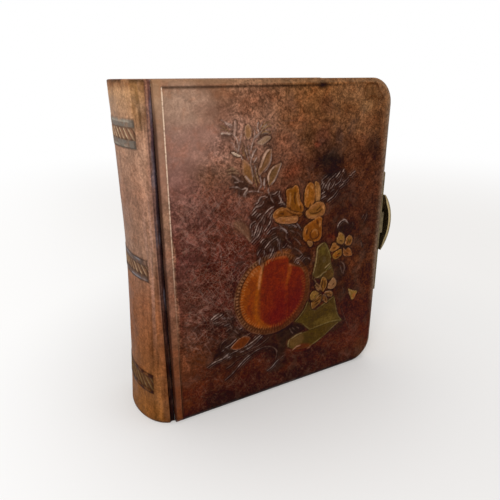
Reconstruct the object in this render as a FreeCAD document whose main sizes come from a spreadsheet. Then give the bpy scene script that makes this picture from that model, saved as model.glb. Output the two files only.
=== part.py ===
import FreeCAD, Part
import math
import os
import Sketcher

# Photograph album, standing on its tail edges with the front cover towards -Y.
#
# Every piece is drawn in the album's own corner frame and then moved by one placement.
#   corner frame: X = 0 at the joint edge of the covers, growing to the fore-edge,
#                 Y = 0 at the outer face of the front cover, growing to the back cover,
#                 Z = 0 at the tail, growing to the head.
#   part frame:   the origin is the middle of the foot of the bounding box, +Z up.
# Lengths are millimetres.

SIZES = [
    # covers
    ("cover_height", 270.0),
    ("cover_width", 209.0),
    ("album_depth", 82.0),
    ("hide", 0.9),
    ("board", 4.8),
    ("bevel_width", 4.0),
    ("bevel_depth", 2.2),
    ("corner_radius", 22.0),
    ("turn_in", 15.0),
    ("pastedown", 0.5),
    ("gilt_line_inset", 5.6),
    ("gilt_line_width", 1.2),
    ("gilt_line_depth", 0.25),
    ("gilt_line_stop", 4.5),
    ("relief_height", 0.6),
    ("relief_low", 0.36),
    ("relief_root", 0.3),
    # joints between the covers and the spine
    ("groove_width", 4.6),
    ("groove_depth", 4.5),
    ("joint_gap", 0.3),
    ("cover_gap", 0.3),
    # leaves
    ("leaf_count", 26),
    ("leaf_thickness", 2.3),
    ("leaf_relief", 1.2),
    ("head_square", 4.5),
    ("fore_square", 5.0),
    ("back_round", 5.4),
    ("back_shoulder", 1.6),
    ("window_width", 98.0),
    ("window_height", 142.0),
    ("window_depth", 0.8),
    ("lining", 0.8),
    ("lining_margin", 4.0),
    # spine: how far its curve stands out at five heights
    ("spine_set_back", 2.7),
    ("bulge_tail", 23.8),
    ("bulge_low", 20.6),
    ("bulge_waist", 15.5),
    ("bulge_high", 16.0),
    ("bulge_crown", 17.5),
    ("spine_hide", 1.2),
    ("stiffener", 1.0),
    ("spine_turn_in", 12.0),
    ("stiffener_margin", 3.0),
    ("band_height", 18.0),
    ("band_inset", 36.0),
    ("band_rise", 0.4),
    ("band_stop", 11.7),
    # clasp
    ("plate_length", 116.5),
    ("plate_low", 74.0),
    ("plate_width", 4.2),
    ("plate_thickness", 1.6),
    ("plate_end", 1.1),
    ("nail_radius", 0.7),
    ("nail_length", 12.0),
    ("nail_head", 1.7),
    ("nail_crown", 0.7),
    ("nail_inset", 6.0),
    ("nail_spacing", 22.0),
    ("nail_gap", 0.05),
    ("hasp_span", 53.8),
    ("hasp_low", 115.5),
    ("hasp_rise", 10.9),
    ("hasp_thickness", 1.2),
    ("hasp_gap", 0.3),
    ("hasp_front", 0.7),
    ("hasp_back_rise", 1.6),
    ("hasp_tab", 4.6),
    ("knuckle_radius", 2.2),
    ("knuckle_gap", 0.4),
    ("knuckle_share", 11.0),
    ("pin_radius", 1.0),
    ("pin_gap", 0.05),
    ("pin_overhang", 1.2),
    ("catch_width", 20.0),
    ("catch_rise", 4.6),
    ("catch_depth", 3.4),
    ("catch_crown", 1.36),
    ("spring_width", 9.0),
    ("spring_thickness", 0.6),
    ("spring_length", 30.0),
    ("spring_flat", 10.0),
    ("spring_seat", 0.35),
    ("rivet_radius", 1.2),
    ("rivet_head", 2.2),
    ("rivet_crown", 0.8),
]


class Size:
    """A length that is known both as a number and as an expression on the sheet."""

    def __init__(self, value, text=None):
        self.value = float(value)
        self.text = text or repr(float(value))

    def _join(self, other, value, sign, swap=False):
        left, right = (other, self) if swap else (self, other)
        return Size(value, "(%s %s %s)" % (left.text, sign, right.text))

    def __add__(self, other):
        other = as_size(other)
        return self._join(other, self.value + other.value, "+")

    def __sub__(self, other):
        other = as_size(other)
        return self._join(other, self.value - other.value, "-")

    def __rsub__(self, other):
        other = as_size(other)
        return self._join(other, other.value - self.value, "-", swap=True)

    def __mul__(self, other):
        other = as_size(other)
        return self._join(other, self.value * other.value, "*")

    def __truediv__(self, other):
        other = as_size(other)
        return self._join(other, self.value / other.value, "/")

    def __neg__(self):
        return Size(0.0) - self

    def root(self):
        return Size(math.sqrt(self.value), "sqrt(%s)" % self.text)

    __radd__ = __add__
    __rmul__ = __mul__


def as_size(length):
    return length if isinstance(length, Size) else Size(length)


def arc_radius(chord, rise):
    """The radius of an arc that rises by rise over a chord."""
    return (chord * chord / 4 + rise * rise) / (2 * rise)


doc = FreeCAD.newDocument("photograph_album")
sheet = doc.addObject("Spreadsheet::Sheet", "sizes")
for row, (name, number) in enumerate(SIZES, start=1):
    sheet.set("A%d" % row, name)
    sheet.set("B%d" % row, "%g" % number)
    sheet.setAlias("B%d" % row, name)
doc.recompute()

S = {name: Size(number, "<<sizes>>." + name) for name, number in SIZES}
ZERO = Size(0.0)


# ---------------------------------------------------------------- helpers

def bind(item, prop, length):
    """Tie a property to the sheet."""
    item.setExpression(prop, as_size(length).text)


def place(item, x=ZERO, y=ZERO, z=ZERO):
    """Put a piece at a point of the corner frame."""
    bind(item, "Placement.Base.x", ORIGIN_X + x)
    bind(item, "Placement.Base.y", ORIGIN_Y + y)
    bind(item, "Placement.Base.z", as_size(z))


def new_body(name):
    body = doc.addObject("PartDesign::Body", name)
    body.AllowCompound = True
    return body


def origin_item(body, role):
    for item in body.Origin.OriginFeatures:
        if item.Role == role:
            return item
    raise ValueError(role)


def new_sketch(body, name, role, shift=ZERO):
    """A sketch on one of the body's own planes, moved along the plane's normal."""
    sketch = body.newObject("Sketcher::SketchObject", name)
    sketch.AttachmentSupport = (origin_item(body, role), "")
    sketch.MapMode = "FlatFace"
    bind(sketch, "AttachmentOffset.Base.z", shift)
    return sketch


def add_bound(sketch, kind, first, second, length):
    """A dimension between two sketch points, tied to the sheet."""
    if length.value < 0:
        first, second, length = second, first, -length
    index = sketch.addConstraint(Sketcher.Constraint(kind, *first, *second, length.value))
    sketch.setExpression("Constraints[%d]" % index, length.text)


def pin(sketch, point, x, y):
    """Hold a sketch point at (x, y) from the sketch's origin."""
    for kind, axis, length in (("DistanceX", -2, as_size(x)), ("DistanceY", -1, as_size(y))):
        if length.text == ZERO.text:
            sketch.addConstraint(Sketcher.Constraint("PointOnObject", *point, axis))
        else:
            add_bound(sketch, kind, (-1, 1), point, length)


def trace(sketch, corners):
    """Draw a closed counter-clockwise profile.

    Each corner is (x, y), or (x, y, radius) where the side that arrives there is an arc that
    swells outwards with that radius; a negative radius makes the arc hollow.
    """
    ends = [FreeCAD.Vector(as_size(c[0]).value, as_size(c[1]).value, 0) for c in corners]
    arrivals = []
    departures = []
    for number, corner in enumerate(corners):
        start = ends[number - 1]
        stop = ends[number]
        if len(corner) == 3:
            radius = as_size(corner[2])
            chord = stop - start
            half = chord.Length / 2
            swell = abs(radius.value) - math.sqrt(max(radius.value ** 2 - half ** 2, 0.0))
            outward = FreeCAD.Vector(chord.y, -chord.x, 0).normalize()
            outward = outward * math.copysign(swell, radius.value)
            curve = Part.Arc(start, (start + stop) / 2 + outward, stop)
        else:
            curve = Part.LineSegment(start, stop)
        index = sketch.addGeometry(curve, False)
        first = 1
        if (sketch.getPoint(index, 1) - start).Length > (sketch.getPoint(index, 2) - start).Length:
            first = 2
        departures.append((index, first))
        arrivals.append((index, 3 - first))
        if len(corner) == 3:
            size = radius if radius.value > 0 else -radius
            limit = sketch.addConstraint(Sketcher.Constraint("Radius", index, size.value))
            sketch.setExpression("Constraints[%d]" % limit, size.text)
    for number, corner in enumerate(corners):
        following = departures[(number + 1) % len(corners)]
        sketch.addConstraint(Sketcher.Constraint("Coincident", *arrivals[number], *following))
        pin(sketch, arrivals[number], corner[0], corner[1])


def box_profile(sketch, left, low, right, high):
    trace(sketch, [(left, low), (right, low), (right, high), (left, high)])


def cover_profile(sketch, inset, joint_inset, radius):
    """A cover's outline: square at the joint edge, round at both fore-edge corners."""
    left = joint_inset
    right = S["cover_width"] - inset
    high = S["cover_height"] - inset
    trace(sketch, [
        (left, inset),
        (right - radius, inset),
        (right, inset + radius, radius),
        (right, high - radius),
        (right - radius, high, radius),
        (left, high),
    ])


def pad(body, sketch, length, backwards=False, name=None):
    feature = body.newObject("PartDesign::Pad", name or sketch.Name + "_pad")
    feature.Profile = sketch
    bind(feature, "Length", length)
    feature.Reversed = backwards
    return feature


def pocket(body, sketch, length, backwards=False):
    feature = body.newObject("PartDesign::Pocket", sketch.Name + "_pocket")
    feature.Profile = sketch
    bind(feature, "Length", length)
    feature.Reversed = backwards
    return feature


def cut(name, base, tool):
    result = doc.addObject("Part::Cut", name)
    result.Base = base
    result.Tool = tool
    return result


def fuse(name, shapes):
    result = doc.addObject("Part::MultiFuse", name)
    result.Shapes = shapes
    return result


def common(name, shapes):
    result = doc.addObject("Part::MultiCommon", name)
    result.Shapes = shapes
    return result


def mirrored(name, source):
    """The same piece on the back cover, across the album's middle plane."""
    result = doc.addObject("Part::Mirroring", name)
    result.Source = source
    result.Normal = (0, 1, 0)
    bind(result, "Base.y", ORIGIN_Y + S["album_depth"] / 2)
    return result


def box(name, x0, y0, z0, x1, y1, z1):
    """A Part::Box between two corners of the corner frame."""
    item = doc.addObject("Part::Box", name)
    bind(item, "Length", as_size(x1) - x0)
    bind(item, "Width", as_size(y1) - y0)
    bind(item, "Height", as_size(z1) - z0)
    place(item, x0, y0, z0)
    return item


def upright_cylinder(name, radius, x, y, z0, z1):
    item = doc.addObject("Part::Cylinder", name)
    bind(item, "Radius", radius)
    bind(item, "Height", as_size(z1) - z0)
    place(item, x, y, z0)
    return item


# ---------------------------------------------------------------- places shared by the pieces

COVER_THICKNESS = S["board"] + 2 * S["hide"]
MIDDLE = S["album_depth"] / 2
BLOCK_FRONT = COVER_THICKNESS + S["cover_gap"]
BLOCK_DEPTH = S["album_depth"] - 2 * BLOCK_FRONT
BACK_CHORD = BLOCK_DEPTH - 2 * S["back_shoulder"]
BACK_RADIUS = arc_radius(BACK_CHORD, S["back_round"])
PLATE_FACE = S["cover_width"] + S["plate_thickness"]
PLATE_Y = (COVER_THICKNESS + S["bevel_depth"]) / 2
HASP_BASE = PLATE_FACE + S["hasp_gap"]
HASP_TOP = HASP_BASE + S["hasp_rise"]
HASP_MIDDLE = S["hasp_low"] + S["hasp_span"] / 2
PIN_X = PLATE_FACE + S["hasp_gap"] + S["knuckle_radius"]
PIN_Y = S["album_depth"] - PLATE_Y
ORIGIN_X = (S["bulge_tail"] - HASP_TOP - S["rivet_crown"]) / 2
ORIGIN_Y = (S["relief_height"] - S["album_depth"]) / 2


# ---------------------------------------------------------------- covers

def cover_slab(name, inset, start, thickness):
    """A cover-shaped slab whose three free edges are bevelled on the outer side."""
    body = new_body(name)
    radius = S["corner_radius"] - inset
    face = new_sketch(body, name + "_face", "XZ_Plane", -start)
    cover_profile(face, inset + S["bevel_width"], inset, radius - S["bevel_width"])
    waist = new_sketch(body, name + "_waist", "XZ_Plane", -(start + S["bevel_depth"]))
    cover_profile(waist, inset, inset, radius)
    bevel = body.newObject("PartDesign::AdditiveLoft", name + "_bevel")
    bevel.Profile = face
    bevel.Sections = [waist]
    bevel.Ruled = True
    pad(body, waist, thickness - S["bevel_depth"], backwards=True)
    place(body)
    return body


def turn_in_slab(name, thickness):
    """A flat slab that fills the space between the turned-in edges of the hide."""
    body = new_body(name)
    outline = new_sketch(body, name + "_outline", "XZ_Plane", -(S["hide"] + S["board"]))
    cover_profile(outline, S["turn_in"], S["turn_in"], S["corner_radius"] - S["turn_in"])
    pad(body, outline, thickness, backwards=True)
    place(body)
    return body


def build_hide_blank():
    """The covering hide before the board is inside it, with the blind line for the gilding."""
    body = cover_slab("hide_blank", ZERO, ZERO, COVER_THICKNESS)
    line = new_sketch(body, "gilt_line", "XZ_Plane")
    left = S["gilt_line_inset"] - S["gilt_line_width"] / 2
    stop = S["gilt_line_stop"]
    box_profile(line, left, stop, left + S["gilt_line_width"], S["cover_height"] - stop)
    pocket(body, line, S["gilt_line_depth"])
    return body


# ---------------------------------------------------------------- embossed ornament
#
# The stamp is drawn on a grid whose unit is a hundredth of the cover's height, measured from
# the middle of the cover, across (u) and up (v). Angles are degrees from the u axis.

MEDALLION = (-4.3, -13.7)
MEDALLION_BORDER = 13.9
MEDALLION_FIELD = 11.12
PETAL_REACH = 1.15  # from a flower's middle to a petal's middle, in half petals
PETALS = [
    # u, v, half length, half width, angle
    (2.2, 15.0, 5.0, 2.7, 88),
    (-0.6, 11.9, 5.0, 1.9, 4),
    (9.1, 16.3, 4.2, 2.5, 92),
    (11.0, 11.0, 3.7, 2.4, 8),
    (9.6, 4.8, 4.0, 3.2, 70),
]
FLOWERS = [
    # u, v, number of petals, half length of a petal, half width, first angle
    (22.4, -3.1, 5, 2.3, 1.5, 95),
    (15.0, -18.1, 5, 2.7, 1.5, 88),
]
LEAVES = [
    # u, v, length, width, angle
    (-13.6, 25.5, 8.4, 2.8, 110),
    (-8.0, 28.0, 7.6, 2.9, 62),
    (-5.0, 24.2, 6.8, 2.6, 52),
    (-13.2, 36.2, 4.6, 1.8, 86),
    (-19.0, 36.6, 4.2, 1.4, 128),
    (-17.3, 30.6, 3.4, 1.2, 155),
    (-7.3, 35.4, 4.4, 1.5, 40),
    (-15.4, 8.6, 8.0, 3.0, 132),
    (-16.2, 22.6, 6.0, 1.6, 150),
    (-16.4, -28.2, 7.4, 2.8, 10),
    (-22.6, -20.8, 9.6, 3.4, 122),
    (27.8, -20.9, 4.2, 2.6, 140),
]
FRONDS = [
    # root u, root v, number of leaflets, length, width, first angle, last angle
    (-4.2, 17.0, 5, 9.0, 1.7, 150, 235),
    (-6.4, 7.6, 5, 9.4, 1.7, 150, 240),
    (12.6, 14.4, 5, 10.0, 1.5, 18, 62),
    (-8.4, 20.2, 3, 16.0, 1.0, 92, 128),
    (-6.0, -28.2, 5, 18.0, 1.2, 184, 218),
]
RIBBONS = [
    # corners of the two broad ribbon leaves
    [(10.4, -11.2), (11.6, -1.6), (14.0, 0.0), (16.6, -2.2), (18.0, -8.0), (17.4, -11.6)],
    [(3.6, -26.3), (8.4, -23.2), (19.4, -20.6), (22.6, -30.2), (16.6, -34.0), (8.6, -37.4),
     (2.8, -35.4), (1.6, -31.4), (9.4, -30.2)],
]


def grid_point(u, v, depth=0.0):
    unit = S["cover_height"].value / 100
    middle_x = S["cover_width"].value / 2
    middle_z = S["cover_height"].value / 2
    return FreeCAD.Vector(middle_x + u * unit, depth, middle_z + v * unit)


def raised(wire, height):
    """A motif that starts inside the hide and stands out towards -Y."""
    root = S["relief_root"].value
    face = Part.Face(wire)
    face.translate(FreeCAD.Vector(0, root, 0))
    return face.extrude(FreeCAD.Vector(0, -(root + height), 0))


def petal(u, v, half_length, half_width, angle, height):
    unit = S["cover_height"].value / 100
    along = FreeCAD.Vector(math.cos(math.radians(angle)), 0, math.sin(math.radians(angle)))
    across = FreeCAD.Vector(-along.z, 0, along.x)
    centre = grid_point(u, v)
    curve = Part.Ellipse(centre + along * half_length * unit, centre + across * half_width * unit, centre)
    return raised(Part.Wire([curve.toShape()]), height)


def leaf(u, v, length, width, angle, height):
    """A pointed leaf between two arcs."""
    unit = S["cover_height"].value / 100
    along = FreeCAD.Vector(math.cos(math.radians(angle)), 0, math.sin(math.radians(angle)))
    across = FreeCAD.Vector(-along.z, 0, along.x)
    centre = grid_point(u, v)
    tip = centre + along * length / 2 * unit
    heel = centre - along * length / 2 * unit
    one = Part.Arc(heel, centre + across * width / 2 * unit, tip).toShape()
    other = Part.Arc(tip, centre - across * width / 2 * unit, heel).toShape()
    return raised(Part.Wire([one, other]), height)


def build_ornament():
    """All raised motifs of the front cover's stamp, as one relief."""
    full = S["relief_height"].value
    low = S["relief_low"].value
    motifs = []
    unit = S["cover_height"].value / 100
    facing = FreeCAD.Vector(0, -1, 0)
    for radius, height in ((MEDALLION_BORDER, low), (MEDALLION_FIELD, full)):
        disc = Part.Circle(grid_point(*MEDALLION), facing, radius * unit)
        motifs.append(raised(Part.Wire([disc.toShape()]), height))
    for item in PETALS:
        motifs.append(petal(*item, full))
    for u, v, count, half_length, half_width, first in FLOWERS:
        for number in range(int(count)):
            angle = first + 360 * number / int(count)
            reach = half_length * PETAL_REACH
            motifs.append(petal(u + reach * math.cos(math.radians(angle)),
                                v + reach * math.sin(math.radians(angle)),
                                half_length, half_width, angle, full))
    for item in LEAVES:
        motifs.append(leaf(*item, full))
    for u, v, count, length, width, first, last in FRONDS:
        for number in range(int(count)):
            angle = first + (last - first) * number / (int(count) - 1)
            motifs.append(leaf(u + length / 2 * math.cos(math.radians(angle)),
                               v + length / 2 * math.sin(math.radians(angle)),
                               length, width, angle, low))
    for corners in RIBBONS:
        outline = Part.makePolygon([grid_point(*c) for c in corners + corners[:1]])
        motifs.append(raised(outline, low))
    relief = doc.addObject("Part::Feature", "ornament")
    relief.Shape = motifs[0].multiFuse(motifs[1:]).removeSplitter()
    place(relief)
    return relief


# ---------------------------------------------------------------- leaves and their back

def build_leaf_block():
    """Thick card leaves on cloth guards, rounded at the back, as one solid."""
    body = new_body("leaves")
    back = -S["groove_width"]
    fore = S["cover_width"] - S["fore_square"]
    rear = BLOCK_FRONT + BLOCK_DEPTH
    foot = S["head_square"]
    top = S["cover_height"] - S["head_square"]
    shoulder = S["back_shoulder"]
    core = new_sketch(body, "leaf_core", "XY_Plane", foot + S["leaf_relief"])
    trace(core, [
        (back, BLOCK_FRONT),
        (fore - S["leaf_relief"], BLOCK_FRONT),
        (fore - S["leaf_relief"], rear),
        (back, rear),
        (back, rear - shoulder),
        (back, BLOCK_FRONT + shoulder, BACK_RADIUS),
    ])
    pad(body, core, top - foot - 2 * S["leaf_relief"])
    round_corner = S["corner_radius"] - S["fore_square"]
    first = new_sketch(body, "leaf_outline", "XZ_Plane", -BLOCK_FRONT)
    trace(first, [
        (back, foot),
        (fore - round_corner, foot),
        (fore, foot + round_corner, round_corner),
        (fore, top - round_corner),
        (fore - round_corner, top, round_corner),
        (back, top),
    ])
    leaf_pad = pad(body, first, S["leaf_thickness"], backwards=True, name="leaf")
    pattern = body.newObject("PartDesign::LinearPattern", "leaf_pattern")
    pattern.Originals = [leaf_pad]
    pattern.Direction = (origin_item(body, "Y_Axis"), [""])
    bind(pattern, "Length", BLOCK_DEPTH - S["leaf_thickness"])
    bind(pattern, "Occurrences", S["leaf_count"])
    body.Tip = pattern
    middle = fore / 2
    left = middle - S["window_width"] / 2
    low = S["cover_height"] / 2 - S["window_height"] / 2
    for name, level, backwards in (("front", BLOCK_FRONT, False), ("rear", rear, True)):
        window = new_sketch(body, "window_" + name, "XZ_Plane", -level)
        box_profile(window, left, low, left + S["window_width"], low + S["window_height"])
        pocket(body, window, S["window_depth"], backwards)
    place(body)
    return body


def build_spine_lining():
    """Open-weave cloth glued over the rounded back of the leaves."""
    body = new_body("lining_cloth")
    foot = S["head_square"] + S["leaf_relief"]
    half = BACK_CHORD / 2 - S["lining_margin"]
    centre_x = BACK_RADIUS - S["groove_width"] - S["back_round"]
    outer_radius = BACK_RADIUS + S["lining"]
    inner_x = centre_x - (BACK_RADIUS * BACK_RADIUS - half * half).root()
    outer_x = centre_x - (outer_radius * outer_radius - half * half).root()
    plan = new_sketch(body, "lining_plan", "XY_Plane", foot)
    trace(plan, [
        (inner_x, MIDDLE - half),
        (inner_x, MIDDLE + half, -BACK_RADIUS),
        (outer_x, MIDDLE + half),
        (outer_x, MIDDLE - half, outer_radius),
    ])
    pad(body, plan, S["cover_height"] - 2 * foot)
    place(body)
    return body


# ---------------------------------------------------------------- spine

STATIONS = [
    # share of the height, how far the spine stands out there
    (0.0, "bulge_tail"),
    (0.15, "bulge_low"),
    (0.5, "bulge_waist"),
    (0.78, "bulge_high"),
    (1.0, "bulge_crown"),
]


def spine_column(name, inset):
    """The spine's half-oval curve from tail to head, moved inwards by inset, as a full column."""
    rings = []
    for number, (share, bulge) in enumerate(STATIONS):
        ring = doc.addObject("Part::Ellipse", "%s_ring_%d" % (name, number))
        ring.Placement.Rotation = FreeCAD.Rotation(FreeCAD.Vector(0, 0, 1), 90)
        bind(ring, "MajorRadius", MIDDLE - S["spine_set_back"] - inset)
        bind(ring, "MinorRadius", S[bulge] - inset)
        place(ring, ZERO, MIDDLE, S["cover_height"] * share)
        rings.append(ring)
    column = doc.addObject("Part::Loft", name)
    column.Sections = rings
    column.Solid = True
    column.Ruled = False
    return column


def spine_slice(name, x_high, z_low, z_high, y_low=ZERO, y_high=None):
    """A box that keeps the part of a spine column that is further out than x_high."""
    far = -(S["bulge_tail"] + S["bulge_crown"])
    return box(name, far, y_low, z_low, x_high, S["album_depth"] if y_high is None else y_high, z_high)


def build_spine():
    """Spine hide with raised bands and turn-ins, and the card that stiffens it."""
    height = S["cover_height"]
    edge = -S["groove_width"]
    inner = S["spine_hide"] + S["stiffener"]
    outside = spine_column("spine_outside", ZERO)
    card_face = spine_column("spine_card_face", S["spine_hide"])
    card_back = spine_column("spine_card_back", inner)
    turn_face = spine_column("spine_turn_face", inner + S["spine_hide"])
    swollen = spine_column("spine_band_face", -S["band_rise"])
    centres = [S["band_inset"], height / 2, height - S["band_inset"]]
    bands = []
    for number, centre in enumerate(centres, start=1):
        half = S["band_height"] / 2
        limits = spine_slice("band_limits_%d" % number, -S["band_rise"], centre - half, centre + half,
                             S["band_stop"], S["album_depth"] - S["band_stop"])
        bands.append(common("band_%d" % number, [swollen, limits]))
    banded = fuse("spine_banded", [outside] + bands)
    shaped = common("spine_shaped", [banded, spine_slice("spine_limits", edge, ZERO, height)])
    card_limits = spine_slice("stiffener_limits", edge - S["stiffener_margin"],
                              S["spine_hide"], height - S["spine_hide"])
    stiffener = cut("stiffener_card", common("stiffener_block", [card_face, card_limits]), card_back)
    hollow_limits = spine_slice("hollow_limits", ZERO, S["spine_turn_in"], height - S["spine_turn_in"])
    hollow = common("spine_hollow", [card_back, hollow_limits])
    pocketed = cut("spine_pocketed", shaped, stiffener)
    opened = cut("spine_opened", pocketed, hollow)
    return cut("spine_hide_shell", opened, turn_face), stiffener


# ---------------------------------------------------------------- clasp

def build_plate(name):
    """The brass strip along a cover's fore-edge."""
    body = new_body(name)
    outline = new_sketch(body, name + "_outline", "YZ_Plane", S["cover_width"])
    near = PLATE_Y - S["plate_width"] / 2
    far = PLATE_Y + S["plate_width"] / 2
    foot = S["plate_low"] + S["plate_end"]
    top = S["plate_low"] + S["plate_length"] - S["plate_end"]
    end_radius = arc_radius(S["plate_width"], S["plate_end"])
    trace(outline, [(near, foot), (far, foot, end_radius), (far, top), (near, top, end_radius)])
    pad(body, outline, S["plate_thickness"])
    place(body)
    return body


NAIL_HEIGHTS = [
    S["plate_low"] + S["nail_inset"],
    S["plate_low"] + S["nail_inset"] + S["nail_spacing"],
    S["plate_low"] + S["plate_length"] - S["nail_inset"],
]


def build_nails():
    """Round-headed brass nails, driven through the plate into the board."""
    nails = []
    for number, height in enumerate(NAIL_HEIGHTS, start=1):
        body = new_body("nail_%d" % number)
        profile = new_sketch(body, "nail_profile_%d" % number, "XY_Plane")
        trace(profile, [
            (-S["nail_length"], ZERO),
            (S["nail_crown"], ZERO),
            (ZERO, S["nail_head"], arc_radius(2 * S["nail_head"], S["nail_crown"])),
            (ZERO, S["nail_radius"]),
            (-S["nail_length"], S["nail_radius"]),
        ])
        turned = body.newObject("PartDesign::Revolution", "nail_turned_%d" % number)
        turned.Profile = profile
        turned.ReferenceAxis = (profile, ["H_Axis"])
        turned.Angle = 360
        place(body, PLATE_FACE, PLATE_Y, height)
        nails.append(body)
    return compound("nails", nails)


def build_nail_holes():
    """The holes that the nails stand in, through plate, hide and board."""
    holes = []
    for number, height in enumerate(NAIL_HEIGHTS, start=1):
        hole = doc.addObject("Part::Cylinder", "nail_hole_%d" % number)
        hole.Placement.Rotation = FreeCAD.Rotation(FreeCAD.Vector(0, 1, 0), -90)
        bind(hole, "Radius", S["nail_radius"] + S["nail_gap"])
        bind(hole, "Height", S["nail_length"])
        place(hole, PLATE_FACE, PLATE_Y, height)
        holes.append(hole)
    return compound("nail_holes", holes)


def compound(name, items):
    result = doc.addObject("Part::Compound", name)
    result.Links = items
    return result


def build_catch():
    """The rounded catch that stands on the front plate, inside the vault of the hasp."""
    body = new_body("catch")
    plan = new_sketch(body, "catch_plan", "XY_Plane")
    half = S["catch_depth"] / 2
    shoulder = S["catch_rise"] - half
    trace(plan, [
        (ZERO, -half),
        (shoulder, -half),
        (shoulder, half, arc_radius(S["catch_depth"], S["catch_crown"])),
        (ZERO, half),
    ])
    pad(body, plan, S["catch_width"])
    place(body, PLATE_FACE, PLATE_Y, HASP_MIDDLE - S["catch_width"] / 2)
    return body


def vault_profile(sketch, outer_x, rise):
    """The section across the hasp: an arch of even thickness, open towards the leaves."""
    low = S["hasp_low"]
    high = low + S["hasp_span"]
    radius = arc_radius(S["hasp_span"], rise)
    inner_x = outer_x - S["hasp_thickness"]
    trace(sketch, [(outer_x, low), (outer_x, high, radius), (inner_x, high), (inner_x, low, -radius)])


def knuckle(name, low, high):
    return upright_cylinder(name, S["knuckle_radius"], PIN_X, PIN_Y, low, high)


TAPER_STEPS = 4


def build_hasp(pin_bore):
    """The arched strap that bridges the fore-edge and turns on the rear plate."""
    body = new_body("vault")
    rise = S["hasp_rise"] - S["hasp_thickness"]
    front_x = HASP_BASE + S["hasp_thickness"]
    back_x = PIN_X + S["knuckle_radius"] - S["hasp_back_rise"]
    middle_y = MIDDLE
    back_y = PIN_Y - S["hasp_tab"]
    front = new_sketch(body, "vault_front", "XZ_Plane", -S["hasp_front"])
    vault_profile(front, front_x, rise)
    pad(body, front, middle_y - S["hasp_front"], backwards=True)
    stations = []
    for number in range(TAPER_STEPS + 1):
        share = number / TAPER_STEPS
        ease = share * share * (3 - 2 * share)
        level = middle_y * (1 - share) + back_y * share
        station = new_sketch(body, "vault_taper_%d" % number, "XZ_Plane", -level)
        vault_profile(station, front_x * (1 - ease) + back_x * ease,
                      rise * (1 - ease) + S["hasp_back_rise"] * ease)
        stations.append(station)
    loft = body.newObject("PartDesign::AdditiveLoft", "vault_taper")
    loft.Profile = stations[0]
    loft.Sections = stations[1:]
    place(body)
    low = S["hasp_low"] + S["knuckle_share"] + S["knuckle_gap"]
    high = S["hasp_low"] + S["hasp_span"] - S["knuckle_share"] - S["knuckle_gap"]
    outer = PIN_X + S["knuckle_radius"]
    tab = box("hasp_tab_strip", outer - S["hasp_thickness"], back_y - S["hasp_thickness"], low,
              outer, PIN_Y, high)
    solid = fuse("hasp_solid", [body, tab, knuckle("hasp_knuckle", low, high)])
    return cut("hasp_bored", solid, pin_bore)


def build_rear_plate(plate, pin_bore, holes):
    """The rear strip with the two end knuckles of the hinge."""
    strip = mirrored("rear_strip", plate)
    pieces = [strip]
    low = S["hasp_low"]
    high = S["hasp_low"] + S["hasp_span"]
    for name, start, stop in (("low", low, low + S["knuckle_share"]),
                              ("high", high - S["knuckle_share"], high)):
        pieces.append(knuckle("rear_knuckle_" + name, start, stop))
        pieces.append(box("rear_web_" + name, PLATE_FACE - S["plate_thickness"] / 2,
                          PIN_Y - S["plate_width"] / 2, start,
                          PIN_X, PIN_Y + S["plate_width"] / 2, stop))
    bored = cut("rear_plate_bored", fuse("rear_plate_solid", pieces), pin_bore)
    return cut("rear_plate_drilled", bored, holes)


def build_spring():
    """A leaf spring under the vault; its free end bears beside the catch."""
    body = new_body("spring")
    plan = new_sketch(body, "spring_plan", "XY_Plane")
    roof = HASP_TOP - S["hasp_thickness"] - S["spring_seat"]
    thick = S["spring_thickness"]
    tail_y = MIDDLE
    bend_y = MIDDLE - S["spring_flat"]
    tip_y = MIDDLE - S["spring_length"]
    tip = PLATE_FACE + S["catch_rise"]
    trace(plan, [
        (tip - thick, tip_y),
        (tip, tip_y),
        (roof, bend_y),
        (roof, tail_y),
        (roof - thick, tail_y),
        (roof - thick, bend_y),
    ])
    pad(body, plan, S["spring_width"])
    place(body, ZERO, ZERO, HASP_MIDDLE - S["spring_width"] / 2)
    return body


def build_rivet(name, extra_radius, with_heads):
    """The rivet that holds the spring to the roof of the vault, or the hole for it."""
    body = new_body(name)
    plan = new_sketch(body, name + "_profile", "XY_Plane")
    radius = S["rivet_radius"] + extra_radius
    floor = -(S["spring_thickness"] + S["spring_seat"] + S["hasp_thickness"])
    if with_heads:
        head = S["rivet_head"]
        dome = arc_radius(2 * head, S["rivet_crown"])
        trace(plan, [
            (floor - S["rivet_crown"] / 2, ZERO),
            (S["rivet_crown"], ZERO),
            (ZERO, head, dome),
            (ZERO, radius),
            (floor, radius),
            (floor, head),
            (floor - S["rivet_crown"] / 2, head),
        ])
    else:
        box_profile(plan, floor, ZERO, S["rivet_crown"], radius)
    turned = body.newObject("PartDesign::Revolution", name + "_turned")
    turned.Profile = plan
    turned.ReferenceAxis = (plan, ["H_Axis"])
    turned.Angle = 360
    place(body, HASP_TOP, MIDDLE - S["rivet_head"] - S["spring_thickness"], HASP_MIDDLE)
    return body


# ---------------------------------------------------------------- the album

front_board_blank = cover_slab("board_blank", S["hide"], S["hide"], S["board"])
hide_blank = build_hide_blank()
window = turn_in_slab("turn_in_window", S["hide"])
pastedown = turn_in_slab("pastedown_sheet", S["pastedown"])
nails = build_nails()
nail_holes = build_nail_holes()
plate = build_plate("clasp_strip")
rear_holes = mirrored("rear_nail_holes", nail_holes)

hide_wrapped = cut("hide_wrapped", cut("hide_around_board", hide_blank, front_board_blank), window)
hide_drilled = cut("hide_drilled", hide_wrapped, nail_holes)
board_drilled = cut("board_drilled", front_board_blank, nail_holes)
plate_drilled = cut("plate_drilled", plate, nail_holes)
embossed = fuse("hide_embossed", [hide_drilled, build_ornament()])

hinge_strip = box("hinge_strip", -S["groove_width"], S["groove_depth"], ZERO,
                  -S["joint_gap"], BLOCK_FRONT, S["cover_height"])
spine_hide, stiffener = build_spine()

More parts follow.
